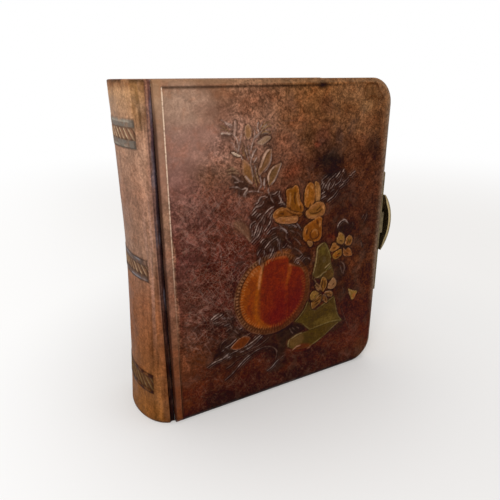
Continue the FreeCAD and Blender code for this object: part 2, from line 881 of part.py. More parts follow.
pin_low = S["hasp_low"] - S["pin_overhang"]
pin_high = S["hasp_low"] + S["hasp_span"] + S["pin_overhang"]
hinge_pin = upright_cylinder("hinge_pin", S["pin_radius"], PIN_X, PIN_Y, pin_low, pin_high)
pin_bore = upright_cylinder("pin_bore", S["pin_radius"] + S["pin_gap"], PIN_X, PIN_Y, pin_low, pin_high)
spring = build_spring()
rivet = build_rivet("rivet", ZERO, with_heads=True)
rivet_hole = build_rivet("rivet_hole", S["pin_gap"], with_heads=False)

SUBPARTS = {
    "leaf_block": build_leaf_block(),
    "spine_lining": build_spine_lining(),
    "spine_stiffener": stiffener,
    "spine_leather": spine_hide,
    "front_hinge_strip": hinge_strip,
    "back_hinge_strip": mirrored("rear_hinge_strip", hinge_strip),
    "front_board": board_drilled,
    "front_cover_leather": embossed,
    "front_pastedown": pastedown,
    "clasp_front_plate": plate_drilled,
    "clasp_front_nails": nails,
    "clasp_catch": build_catch(),
    "back_board": mirrored("rear_board", board_drilled),
    "back_cover_leather": mirrored("rear_hide", hide_drilled),
    "back_pastedown": mirrored("rear_pastedown", pastedown),
    "clasp_back_plate": build_rear_plate(plate, pin_bore, rear_holes),
    "clasp_back_nails": mirrored("rear_nails", nails),
    "clasp_hinge_pin": hinge_pin,
    "clasp_hasp": cut("hasp_drilled", build_hasp(pin_bore), rivet_hole),
    "hasp_spring": cut("spring_drilled", spring, rivet_hole),
    "hasp_rivet": rivet,
}
for node, item in SUBPARTS.items():
    item.Label = node

doc.recompute()

for item in doc.Objects:
    if "Invalid" in item.State or "Error" in item.State:
        raise RuntimeError("%s did not build: %s" % (item.Label, item.State))
for node, item in SUBPARTS.items():
    if item.Shape.isNull() or not item.Shape.isValid() or not item.Shape.Solids:
        raise RuntimeError("%s has no valid solid" % node)

os.makedirs("parts", exist_ok=True)
for node, item in SUBPARTS.items():
    item.Shape.exportStep("parts/%s.step" % node)
    extent = item.Shape.optimalBoundingBox(False)
    print("%-20s %2d solids %10.1f mm3  x %7.2f %7.2f  y %7.2f %7.2f  z %7.2f %7.2f" % (
        node, len(item.Shape.Solids), item.Shape.Volume,
        extent.XMin, extent.XMax, extent.YMin, extent.YMax, extent.ZMin, extent.ZMax))
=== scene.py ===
import math
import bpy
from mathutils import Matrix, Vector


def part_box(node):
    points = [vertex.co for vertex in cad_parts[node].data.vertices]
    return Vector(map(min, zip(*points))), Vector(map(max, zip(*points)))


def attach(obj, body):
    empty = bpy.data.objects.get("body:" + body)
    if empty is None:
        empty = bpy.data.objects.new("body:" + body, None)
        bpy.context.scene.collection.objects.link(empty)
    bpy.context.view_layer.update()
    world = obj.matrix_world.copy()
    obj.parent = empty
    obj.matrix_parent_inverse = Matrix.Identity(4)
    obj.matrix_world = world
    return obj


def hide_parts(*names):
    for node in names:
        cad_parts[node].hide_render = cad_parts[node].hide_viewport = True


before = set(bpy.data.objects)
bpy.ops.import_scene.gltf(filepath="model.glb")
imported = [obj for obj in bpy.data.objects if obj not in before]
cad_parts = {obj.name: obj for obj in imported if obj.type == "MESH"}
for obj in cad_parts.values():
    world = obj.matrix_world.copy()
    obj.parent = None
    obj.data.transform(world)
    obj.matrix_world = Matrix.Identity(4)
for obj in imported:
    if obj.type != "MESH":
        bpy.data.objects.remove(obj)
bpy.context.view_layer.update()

from types import SimpleNamespace

import bmesh
import bpy
import numpy as np
from mathutils import Matrix, Vector

bl_info = {
    "name": "Photograph Album",
    "version": (1, 0, 0),
    "blender": (4, 5, 0),
    "location": "3D View > Sidebar > Album",
    "description": "Dresses a leather photograph album: hides, gilding, card leaves and brass clasp",
    "category": "Object",
}

MM = 0.001

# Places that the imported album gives, in metres. The corner frame starts at the tail of the joint
# edge, on the outer face of the front cover; its lengths are millimetres.
HIDE_LOW, HIDE_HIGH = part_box("back_cover_leather")
BOARD_LOW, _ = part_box("front_board")
HIDE = BOARD_LOW[0] - HIDE_LOW[0]
CORNER = Vector((HIDE_LOW[0], BOARD_LOW[1] - HIDE, 0.0))
WIDTH = (HIDE_HIGH[0] - HIDE_LOW[0]) / MM
HEIGHT = HIDE_HIGH[2] / MM
DEPTH = (HIDE_HIGH[1] - CORNER.y) / MM


# ---------------------------------------------------------------- sizes and colours

def linear(code):
    """An sRGB hex colour as linear red, green and blue."""
    shares = [int(code[k:k + 2], 16) / 255 for k in (1, 3, 5)]
    return [s / 12.92 if s <= 0.04045 else ((s + 0.055) / 1.055) ** 2.4 for s in shares]


def length(name, description, size):
    """A length property; size is in millimetres."""
    return bpy.props.FloatProperty(name=name, description=description, default=size * MM,
                                   min=0.0, unit="LENGTH", subtype="DISTANCE", precision=5)


def colour(name, description, code):
    return bpy.props.FloatVectorProperty(name=name, description=description, size=3,
                                         default=linear(code), min=0.0, max=1.0, subtype="COLOR")


class AlbumSizes(bpy.types.PropertyGroup):
    """Lengths that a binder would choose."""
    bevel_width: length("Bevel width", "Width of the slope along the free edges of a cover", 4.0)
    corner_radius: length("Corner radius", "Radius of the two fore-edge corners", 22.0)
    cover_thickness: length("Cover thickness", "Board and both layers of hide", 6.6)
    turn_in: length("Turn-in", "Width of the hide turned over the inside of the board", 15.0)
    stamp_step: length("Stamp step", "Fineness of the embossed field", 0.8)
    plain_step: length("Plain step", "Fineness of the plain field", 2.0)
    gilt_line_inset: length("Gilt line inset", "From the joint edge to the gilt line", 5.6)
    gilt_line_width: length("Gilt line width", "Width of the tooled line", 1.1)
    gilt_line_stop: length("Gilt line stop", "From tail and head to the ends of the line", 4.5)
    gilt_line_depth: length("Gilt line depth", "Depth of the tooled line", 0.25)
    relief: length("Relief", "Greatest height of the embossing", 0.58)
    joint_width: length("Joint width", "From the joint edge of a cover to the spine", 4.6)
    joint_depth: length("Joint depth", "From the face of a cover to the floor of the joint", 4.5)
    spine_thickness: length("Spine thickness", "Hide, card and turned-in hide at head and tail", 3.4)
    spine_hide: length("Spine hide", "Thickness of the hide on the spine", 1.2)
    spine_turn_in: length("Spine turn-in", "Depth of the fold at head and tail", 12.0)
    spine_set_back: length("Spine set-back", "From a cover's face to the edge of the spine's curve", 2.7)
    band_height: length("Band height", "Height of a tooled band on the spine", 18.0)
    band_inset: length("Band inset", "From head or tail to the middle of the end bands", 36.0)
    band_stop: length("Band stop", "From a cover's face to the end of a band", 11.7)
    leaf_thickness: length("Leaf thickness", "Thickness of one card leaf", 2.3)


class AlbumColours(bpy.types.PropertyGroup):
    """Dyes, gilding and metal."""
    gilt_line: colour("Gilt line", "Gold leaf rubbed thin on the tooled line", "#F0D3B8")
    ink: colour("Blacking", "Blacking in the sunk parts of the stamp", "#150D0B")
    rubbed: colour("Rubbed hide", "Hide rubbed bare at the edges", "#84694F")
    card: colour("Card", "Cream card of the leaves", "#E2D3B4")
    brass: colour("Brass", "Rubbed brass of the clasp", "#B8A478")
    brass_dark: colour("Brass patina", "Dull brown skin on old brass", "#3A2E20")


def in_mm(group):
    """Every length of a property group, in millimetres."""
    names = group.__annotations__
    return SimpleNamespace(**{name: getattr(group, name) / MM for name in names})


# ---------------------------------------------------------------- meshes

FRONT = Matrix.Translation(CORNER) @ Matrix.Rotation(math.pi / 2, 4, "X") @ Matrix.Scale(MM, 4)
# The same on the back cover: its local third axis still points out of the album.
BACK = (Matrix.Translation(CORNER + Vector((0, DEPTH * MM, 0)))
        @ Matrix(((1, 0, 0, 0), (0, 0, 1, 0), (0, 1, 0, 0), (0, 0, 0, 1))) @ Matrix.Scale(MM, 4))
UPRIGHT = Matrix.Translation(CORNER) @ Matrix.Scale(MM, 4)


def to_object(bm, name, seat, material, smooth=True):
    """Makes an object of a bmesh that was drawn in millimetres, with its place in its mesh."""
    bm.transform(seat)
    if seat.determinant() < 0:
        bmesh.ops.reverse_faces(bm, faces=bm.faces)
    mesh = bpy.data.meshes.new(name)
    bm.to_mesh(mesh)
    bm.free()
    for skin in material if isinstance(material, (list, tuple)) else [material]:
        mesh.materials.append(skin)
    if smooth:
        mesh.shade_smooth()
    piece = bpy.data.objects.new(name, mesh)
    bpy.context.scene.collection.objects.link(piece)
    return piece


def install(piece, body, slot, *nodes):
    """Puts a finished piece on its body in place of the CAD nodes it stands for."""
    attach(piece, body)
    if nodes:
        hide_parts(*nodes)


def box_in_mm(node):
    """The low and high corner of a CAD node in the corner frame, in millimetres."""
    return [[(end[k] - CORNER[k]) / MM for k in range(3)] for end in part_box(node)]


def spaced(stops, steps):
    """Places from stop to stop, each run divided evenly by about its step."""
    places = [stops[0]]
    for start, stop, step in zip(stops, stops[1:], steps):
        count = max(1, round((stop - start) / step))
        places += [start + (stop - start) * k / count for k in range(1, count + 1)]
    return places


def grid(columns, rows):
    """A flat grid in the local plane, with its lines at the given places."""
    bm = bmesh.new()
    across = len(columns) - 1
    up = len(rows) - 1
    bmesh.ops.create_grid(bm, x_segments=across, y_segments=up, size=0.5)
    for vert in bm.verts:
        vert.co = (columns[round((vert.co.x + 0.5) * across)], rows[round((vert.co.y + 0.5) * up)], 0)
    return bm


def extrude_rim(bm, rim, move):
    """Extrudes an open rim once; move gives each new vertex its place. Returns the new rim."""
    made = bmesh.ops.extrude_edge_only(bm, edges=rim)["geom"]
    fresh = [g for g in made if isinstance(g, bmesh.types.BMVert)]
    for vert in fresh:
        vert.co = move(vert)
    held = set(fresh)
    return [g for g in made if isinstance(g, bmesh.types.BMEdge)
            and g.verts[0] in held and g.verts[1] in held]


def recalculated(bm):
    bmesh.ops.recalc_face_normals(bm, faces=bm.faces)
    return bm


def write_layer(mesh, name, values):
    layer = mesh.attributes.new(name, "FLOAT_COLOR", "POINT")
    full = np.zeros((len(mesh.vertices), 4), dtype=np.float32)
    full[:len(values)] = values
    layer.data.foreach_set("color", full.ravel())


def places_of(mesh):
    """Vertex places in the corner frame, in millimetres."""
    flat = np.empty(len(mesh.vertices) * 3)
    mesh.vertices.foreach_get("co", flat)
    return (flat.reshape(-1, 3) - np.array(CORNER)) / MM


def write_places(mesh, places):
    mesh.vertices.foreach_set("co", (places * MM + np.array(CORNER)).ravel())
    mesh.update()


# ---------------------------------------------------------------- noise for hand work

# Cells along each side of a table of random numbers; the pattern repeats after that.
LATTICE = 64


def cloud(x, z, size, seed, octaves=3):
    """Smooth value noise between 0 and 1; size is the width of its largest patches in millimetres."""
    total = np.zeros_like(x)
    weight = 0.0
    for octave in range(octaves):
        table = np.random.default_rng(seed + octave).random((LATTICE, LATTICE))
        scale = 2 ** octave / size
        u, v = x * scale + 7.3, z * scale + 3.1
        i, j = np.floor(u).astype(int), np.floor(v).astype(int)
        s, t = u - i, v - j
        s, t = s * s * (3 - 2 * s), t * t * (3 - 2 * t)
        i, j, i1, j1 = (k % LATTICE for k in (i, j, i + 1, j + 1))
        low = table[i, j] * (1 - s) + table[i1, j] * s
        high = table[i, j1] * (1 - s) + table[i1, j1] * s
        share = 0.5 ** octave
        total += (low * (1 - t) + high * t) * share
        weight += share
    return total / weight


def ramp(value, start, stop):
    """A smooth step from 0 at start to 1 at stop."""
    share = np.clip((value - start) / (stop - start), 0, 1)
    return share * share * (3 - 2 * share)


def dye(tone, share, shade):
    """Brushes a colour, one for all or one for each vertex, over a layer in linear light; share is how
    much of it each vertex takes."""
    shade = np.array(linear(shade)) if isinstance(shade, str) else shade
    share = share[:, None]
    tone[:, :3] = tone[:, :3] * (1 - share) + shade * share


# ---------------------------------------------------------------- the stamp
#
# The front cover was pressed with an engraved brass die, then coloured by hand. A motif is a closed
# outline or an open line, x and z by turns in millimetres from the tail of the cover's joint edge.

def curve(points, closed, steps=6):
    """A smooth line through the points."""
    p = np.array(points, dtype=float).reshape(-1, 2)
    if closed:
        a, b, c, d = np.roll(p, 1, 0), p, np.roll(p, -1, 0), np.roll(p, -2, 0)
    else:
        p = np.vstack([2 * p[0] - p[1], p, 2 * p[-1] - p[-2]])
        a, b, c, d = p[:-3], p[1:-2], p[2:-1], p[3:]
    t = (np.arange(steps) / steps)[None, :, None]
    a, b, c, d = (q[:, None, :] for q in (a, b, c, d))
    run = 0.5 * (2 * b + (c - a) * t + (2 * a - 5 * b + 4 * c - d) * t ** 2
                 + (3 * b - a - 3 * c + d) * t ** 3)
    run = run.reshape(-1, 2)
    return run if closed else np.vstack([run, p[-2]])


def reach(x, z, line, closed):
    """Distance from each place to a line, and how far along the line its nearest point is."""
    start = line if closed else line[:-1]
    stop = np.roll(line, -1, 0) if closed else line[1:]
    run = stop - start
    size = np.maximum((run ** 2).sum(1), 1e-9)
    dx, dz = x[:, None] - start[:, 0], z[:, None] - start[:, 1]
    t = np.clip((dx * run[:, 0] + dz * run[:, 1]) / size, 0, 1)
    gap = np.hypot(dx - t * run[:, 0], dz - t * run[:, 1])
    nearest = gap.argmin(1)
    rows = np.arange(len(x))
    return gap[rows, nearest], (nearest + t[rows, nearest]) / len(start)


def within(x, z, loop):
    """True for the places inside a closed outline."""
    x0, z0 = loop[:, 0], loop[:, 1]
    x1, z1 = np.roll(x0, -1), np.roll(z0, -1)
    spans = (z0 > z[:, None]) != (z1 > z[:, None])
    drop = np.where(z1 == z0, 1e-9, z1 - z0)
    return (spans & (x[:, None] < (x1 - x0) * (z[:, None] - z0) / drop + x0)).sum(1) % 2 == 1


class Stamp:
    """Height, paint, gilding and blacking over the face of a cover; the blacking also holds the painted
    shadows beside the strokes.
    """

    def __init__(self, x, z, relief):
        self.x, self.z, self.relief = x, z, relief
        self.height = np.zeros_like(x)
        self.paint = np.zeros((len(x), 4))
        self.gilt = np.zeros_like(x)
        self.ink = np.zeros_like(x)

    def near(self, line, margin):
        low, high = line.min(0) - margin, line.max(0) + margin
        return np.nonzero((self.x > low[0]) & (self.x < high[0])
                          & (self.z > low[1]) & (self.z < high[1]))[0]

    def field(self, points, margin):
        """The places near a closed outline, and how far inside it each one is."""
        loop = curve(points, True)
        at = self.near(loop, margin)
        gap, _ = reach(self.x[at], self.z[at], loop, True)
        return loop, at, np.where(within(self.x[at], self.z[at], loop), gap, -gap)

    def tint(self, at, code, share):
        """Brushes a colour over what is there."""
        share = share[:, None] if isinstance(share, np.ndarray) else share
        self.paint[at, :3] = self.paint[at, :3] * (1 - share) + np.array(linear(code)) * share
        alpha = self.paint[at, 3:]
        self.paint[at, 3:] = alpha + (1 - alpha) * share

    def panel(self, points, fill, rim=None, rise=1.0, crown=3.0, rim_width=0.5, shade=None,
              halo=0.7, grow=0.0, rubbed=1.0):
        """A raised field with a rounded edge, lighter where the edge was rubbed and as a painted highlight
        on its upper-left side, and blacking in the cut just outside it."""
        loop, at, depth = self.field(points, 2.5 + grow)
        depth = depth + grow
        x, z = self.x[at], self.z[at]
        swell = self.relief * rise * (0.55 * ramp(depth, -0.45, 0.35) + 0.45 * ramp(depth, 0, crown))
        self.height[at] = np.where(depth > -0.45, np.maximum(swell, self.height[at] * (depth < 0)),
                                   self.height[at])
        soft = ramp(depth, -0.35, 0.35)
        self.ink[at] *= 1 - soft
        self.gilt[at] *= 1 - soft
        self.tint(at, fill, soft * 0.95)
        if shade:
            tone = cloud(x, z, 3.4, 31) * 0.7 + 0.3 * ramp(depth, 0.4, crown)
            self.tint(at, shade, soft * 0.8 * ramp(tone, 0.34, 0.66))
        if rim:
            middle = loop.mean(0)
            size = np.ptp(loop, 0).max() / 2
            # Painted highlight: the rim is lighter on the upper-left side of the field.
            lit = np.clip(0.5 + ((middle[0] - x) * 0.5 + (z - middle[1]) * 0.35) / size, 0, 1)
            ridge = ramp(depth, -0.2, 0.35) * (1 - ramp(depth, rim_width * 0.5, rim_width * 1.8))
            ridge *= (0.3 + 0.7 * lit) * ramp(cloud(x, z, 4.0, 77), 0.2, 0.55)
            self.tint(at, rim, ridge * rubbed)
            self.height[at] += 0.1 * self.relief * ridge
        outside = (1 - ramp(depth, -0.35, 0.0)) * ramp(depth, -1.5, -0.6)
        outside *= 0.55 + 0.45 * ramp(cloud(x, z, 5.0, 19), 0.3, 0.6)
        self.ink[at] = np.maximum(self.ink[at], halo * outside)
        self.height[at] -= 0.3 * self.relief * outside * (self.height[at] < 0.1)

    def patch(self, points, share, soft=2.5):
        """A field that was blacked and pressed down, with a soft edge."""
        _, at, depth = self.field(points, soft)
        tone = ramp(depth, -soft, soft) * (0.6 + 0.4 * cloud(self.x[at], self.z[at], 4.0, 12))
        self.ink[at] = np.maximum(self.ink[at], share * tone)
        self.height[at] -= 0.25 * self.relief * tone * (self.height[at] < 0.05)

    def wash(self, points, code, share, soft=2.0):
        """A colour brushed on without a cut edge."""
        _, at, depth = self.field(points, soft)
        grain = 0.7 + 0.3 * cloud(self.x[at], self.z[at], 5.0, 23)
        self.tint(at, code, ramp(depth, -soft, soft) * share * grain)

    def washes(self, table):
        for points, code, share, soft in table:
            self.wash(points, code, share, soft)

    def line(self, points, code, width=0.9, share=0.85, lift=0.5, shadow=0.0):
        """A brush or tool stroke that thins towards its ends, with a painted shadow below and to the right
        of it.
        """
        run = curve(points, False)
        at = self.near(run, width + 1.8)
        x, z = self.x[at], self.z[at]
        gap, along = reach(x, z, run, False)
        half = width / 2 * ((1 - np.abs(2 * along - 1) ** 4) * 0.6 + 0.4)
        body = 1 - ramp(gap, half * 0.7, half + 0.5)
        # Painted shadow: a dark copy of the stroke, moved down and to the right, kept in the blacking
        # layer.
        if shadow:
            below, _ = reach(x - 0.7, z + 0.9, run, False)
            cut = shadow * (1 - ramp(below, half * 0.5, half + 0.6)) * (1 - body)
            self.ink[at] = np.maximum(self.ink[at], cut)
        worn = 0.55 + 0.45 * ramp(cloud(x, z, 3.0, 5), 0.25, 0.6)
        self.tint(at, code, body * share * worn)
        self.ink[at] *= 1 - body * share * worn
        self.height[at] += lift * self.relief * body * 0.6

    def lines(self, table, share):
        for code, width, runs in table:
            for points in runs:
                self.line(points, code, width, share, shadow=0.4)

    def cut(self, points, width=0.8, share=0.7):
        """A tooled groove filled with blacking, thinner towards its ends."""
        run = curve(points, False)
        at = self.near(run, width + 1.2)
        gap, along = reach(self.x[at], self.z[at], run, False)
        half = width / 2 * ((1 - np.abs(2 * along - 1) ** 3) * 0.7 + 0.3)
        body = share * (1 - ramp(gap, half * 0.6, half + 0.55))
        self.ink[at] = np.maximum(self.ink[at], body)
        self.height[at] -= 0.25 * self.relief * body


CREAM = "#B89C8E"
PALE = "#A0877C"
DUSK = "#83706A"
SHADE = "#6A5248"
STRAW = "#94755A"

# Leaves and buds of the upper spray: outline, fill, rim, shade.
SPRAY = [
    ((64.2, 214, 63.2, 208, 64.6, 202, 68, 196.8, 71.8, 194.2, 73, 198, 72.2, 203, 70.4, 209, 67.2,
     212.6), "#835D45", "#9C7658", "#704A26"),
    ((89, 220, 85, 219.6, 81.8, 216, 79.2, 210, 77.2, 204, 78.6, 200.4, 82.4, 203.8, 85.8, 207.2, 88.4,
     211.6, 89.2, 216), "#85604A", "#B4907C", "#6A482A"),
    ((98.2, 208.4, 93.5, 207.4, 90, 206, 87, 203.2, 85.6, 199, 86, 194.4, 87.2, 191.4, 90, 194, 93.4, 198,
     95.6, 202.6), "#785640", "#A6866C", "#624426"),
    ((68, 228.2, 66, 232, 66, 236.4, 68.4, 239.4, 71.4, 236.6, 72, 232.4, 70.4, 228.8), "#8C6850",
     "#AC8A70", "#805A3A"),
    ((76, 225, 79.6, 227.6, 83.6, 229.8, 87, 229.6, 88.4, 228, 85, 225.4, 81, 223.4), "#8A6E58",
     "#A08474", "#7E6048"),
    ((54.8, 220, 57, 219.9, 60.5, 218.2, 62.4, 216.6, 60.2, 216.1, 57.2, 217.4), "#C0A48C", "#DCC0AC",
     None),
    ((57.6, 241.6, 59, 241.8, 59.2, 236, 58.4, 232, 57, 232, 56.8, 236), "#9E7C6C", "#B09080", None),
]
# Dark cuts of the spray, then its light stems and blades: colour, width, runs.
SPRAY_CUTS = [
    (66, 219, 68.4, 215, 71, 211.4), (54, 231.4, 56.8, 229, 58.8, 225.6),
    (56, 203, 60, 200.4, 64, 198.6, 67.4, 195.6), (60, 205, 65, 201), (80.9, 199, 81.3, 194, 80.4, 190),
    (84.2, 200.4, 84.6, 195, 83.2, 190), (75.6, 198, 77.6, 192), (76.6, 226.4, 79, 228.6, 82, 230),
    (82, 221.6, 86, 222.8, 89, 222), (73.4, 223.6, 74.4, 225.6), (47, 232, 51, 232, 54, 231),
    (55, 219, 57.6, 216.6, 61, 215.4), (72.8, 229.4, 72.6, 234), (65, 228, 65, 234),
]
SPRAY_LINES = [
    (CREAM, 0.8, [
        (47.5, 243, 51, 241, 55, 239.2, 56.4, 237.4),
        (54.4, 233.8, 57, 232.2, 59.4, 229, 60.4, 225.4, 61.2, 219.4), (62.4, 217.4, 63.8, 214),
        (71.2, 220, 72, 224, 74, 228.4, 78.4, 232.6), (72.6, 215.6, 74, 219, 76, 221.4),
        (70.6, 209, 71.2, 213, 73, 219.6), (73.6, 211, 75.2, 213, 76.4, 215.4),
    ]),
    (PALE, 0.7, [
        (50.4, 240.2, 53.6, 238.4, 56, 235.6), (63.4, 235, 62.8, 230, 61.8, 225, 61.2, 222),
        (73.6, 236.6, 74.6, 232, 74, 229), (80.8, 240.4, 79.4, 236.4), (84.4, 238, 81.4, 235.6),
        (87, 233.6, 83.6, 234.2), (86.4, 231.2, 83, 232, 80, 231),
        (71.4, 209.4, 72.4, 204.4, 72.8, 200.6), (57, 197.6, 60.6, 197.4),
        (55.4, 202.6, 58.6, 200, 62, 197.4), (55, 202.6, 58.6, 201, 61, 198.6, 64.4, 197.2),
        (78.8, 200.6, 79.8, 196, 80, 191), (60.4, 190.8, 61.2, 186.6), (74.6, 209, 75.4, 203, 77.4, 197),
        (66, 222, 67.4, 218, 69, 213), (68.4, 224, 69.6, 219.6, 70.4, 215), (76, 229, 79, 232, 80.6, 235),
        (56, 224.4, 59, 222, 60.4, 219), (82.8, 190, 83.4, 193, 82, 195),
        (87.4, 184.6, 86.4, 187.4, 87.4, 190), (77.4, 188.6, 79.4, 192.4),
    ]),
    ("#8C6C48", 0.8, [
        (46, 239.4, 50, 237.6, 53.4, 235.4), (80, 236, 84, 238.8, 88, 240),
        (80, 234, 85, 236.6, 89.4, 237), (79, 231.4, 84, 233, 88, 231.4),
        (47, 236.4, 50.6, 236, 54, 234.4), (64.4, 226, 64.6, 220, 66.4, 215.6),
        (76, 206, 76.4, 200, 78.4, 194.6), (73.6, 204, 74.6, 198, 76.4, 192),
    ]),
    (CREAM, 1.1, [
        (77.4, 240, 76.6, 236.4, 77.6, 233), (54.4, 227, 56.4, 226, 58, 224.6),
        (82.4, 195.4, 82.2, 192.6), (64, 191.4, 66.4, 192, 68, 191, 66, 189, 65, 187, 66.4, 185.4),
    ]),
    ("#D8BCAA", 1.4, [
        (47, 233.5, 50.4, 233.8, 54.6, 232.4),
    ]),
    ("#B8947E", 1.0, [
        (79.4, 207, 81.4, 212, 83.8, 217, 86.6, 219.4), (86.4, 195, 86, 199, 88.2, 203.4, 91.4, 206.4),
    ]),
    (PALE, 1.0, [
        (66, 186.4, 67.6, 188.6, 71, 189.2, 76, 188.6, 81.6, 186.8),
        (82.6, 202.8, 86, 206, 88.4, 211, 89, 216), (89.4, 192.4, 93.6, 197.6, 96, 203, 98, 208),
        (52.6, 194, 56, 194.2, 60, 193.4, 62.6, 191.8, 66, 192), (66, 201.6, 69, 198, 71.8, 195.2),
        (83, 198, 82.6, 194),
    ]),
    (STRAW, 0.8, [
        (50, 207, 55, 207.4, 60.4, 206), (51, 204.6, 56, 205, 60.8, 203.8), (53, 209.6, 57.4, 208),
        (68, 218, 66.6, 223),
    ]),
]

# Saw-edged foliage: the blacking and its strength, then the edges and veins that the die left
# standing: colour, width, runs.
BLACKENED = [
    ((55, 204, 60, 203, 66, 199, 70, 194, 78, 191, 84, 186, 76, 186, 66, 185, 60, 188, 57, 194), 0.72),
    ((76, 184, 88, 187, 98, 187, 99.4, 179, 103, 175, 97, 172, 91, 170, 89, 162, 84, 155, 78, 151, 71,
     147, 70, 156, 70, 163, 71, 172, 78, 178), 0.74),
    ((76, 137, 79, 146, 84, 150, 92, 150, 98, 148, 104, 142, 104, 136, 98, 136.6, 90, 132, 84, 129, 80,
     127, 76, 131), 0.85),
    ((84, 152, 92, 157, 100, 159, 108, 158, 112, 150, 106, 142, 98, 148, 90, 151), 0.55),
    ((104, 158, 112, 158, 120, 153, 121, 142, 118, 134, 112, 131, 107, 138, 110, 148), 0.3),
    ((135.6, 173, 137, 181, 136, 187, 138, 192, 144, 196, 151, 196.6, 158, 199, 162, 198, 165, 191, 158,
     182, 152, 175, 145, 170.6, 139, 171.6), 0.85),
    ((34, 87, 40, 90.6, 46, 94, 53, 91, 56, 84, 55, 78, 62, 72, 68, 67, 60, 64.6, 53, 67, 48, 68, 50, 76,
     45, 80, 42, 84), 0.74),
    ((40, 63, 48, 67.4, 56, 66, 58, 64, 52, 60, 50, 56, 56, 52, 64, 50, 58, 46, 46, 48, 36, 49, 36, 54,
     39, 58), 0.74),
    ((58, 52, 66, 55, 74, 61, 84, 61, 96, 61, 104, 62, 109, 56, 108, 47, 106, 38, 103, 32, 97, 35, 92, 42,
     84, 45.6, 74, 44, 66, 40, 60, 35.6, 52, 29, 45, 26, 50, 32, 58, 40, 62, 46, 50, 38.6, 46, 38, 52,
     43), 0.62),
    ((96, 61.4, 104, 62.6, 112, 63, 120, 61.4, 126.6, 55, 121, 51.6, 112, 49.4, 108, 47, 104, 42, 98, 50),
     0.95),
    ((108, 123.4, 112, 128, 121, 130, 130, 127.6, 130.6, 120, 124, 116.6, 115, 118.4), 0.85),
    ((153, 114, 161, 116, 169, 113, 171.6, 104, 168, 95, 161, 90, 157, 99), 0.6),
    ((156, 144, 160, 151, 168, 151, 177, 148, 174, 140, 164, 141.4), 0.6),
    ((160, 91, 168, 92, 173, 86, 170, 77, 162, 76.6, 160, 83), 0.5),
    ((181, 156, 188, 160, 193, 154, 191, 144, 185, 140, 181, 147), 0.4),
    ((150, 44, 158, 47, 166, 51.6, 172, 54, 174, 49, 168, 44, 160, 42), 0.6),
]
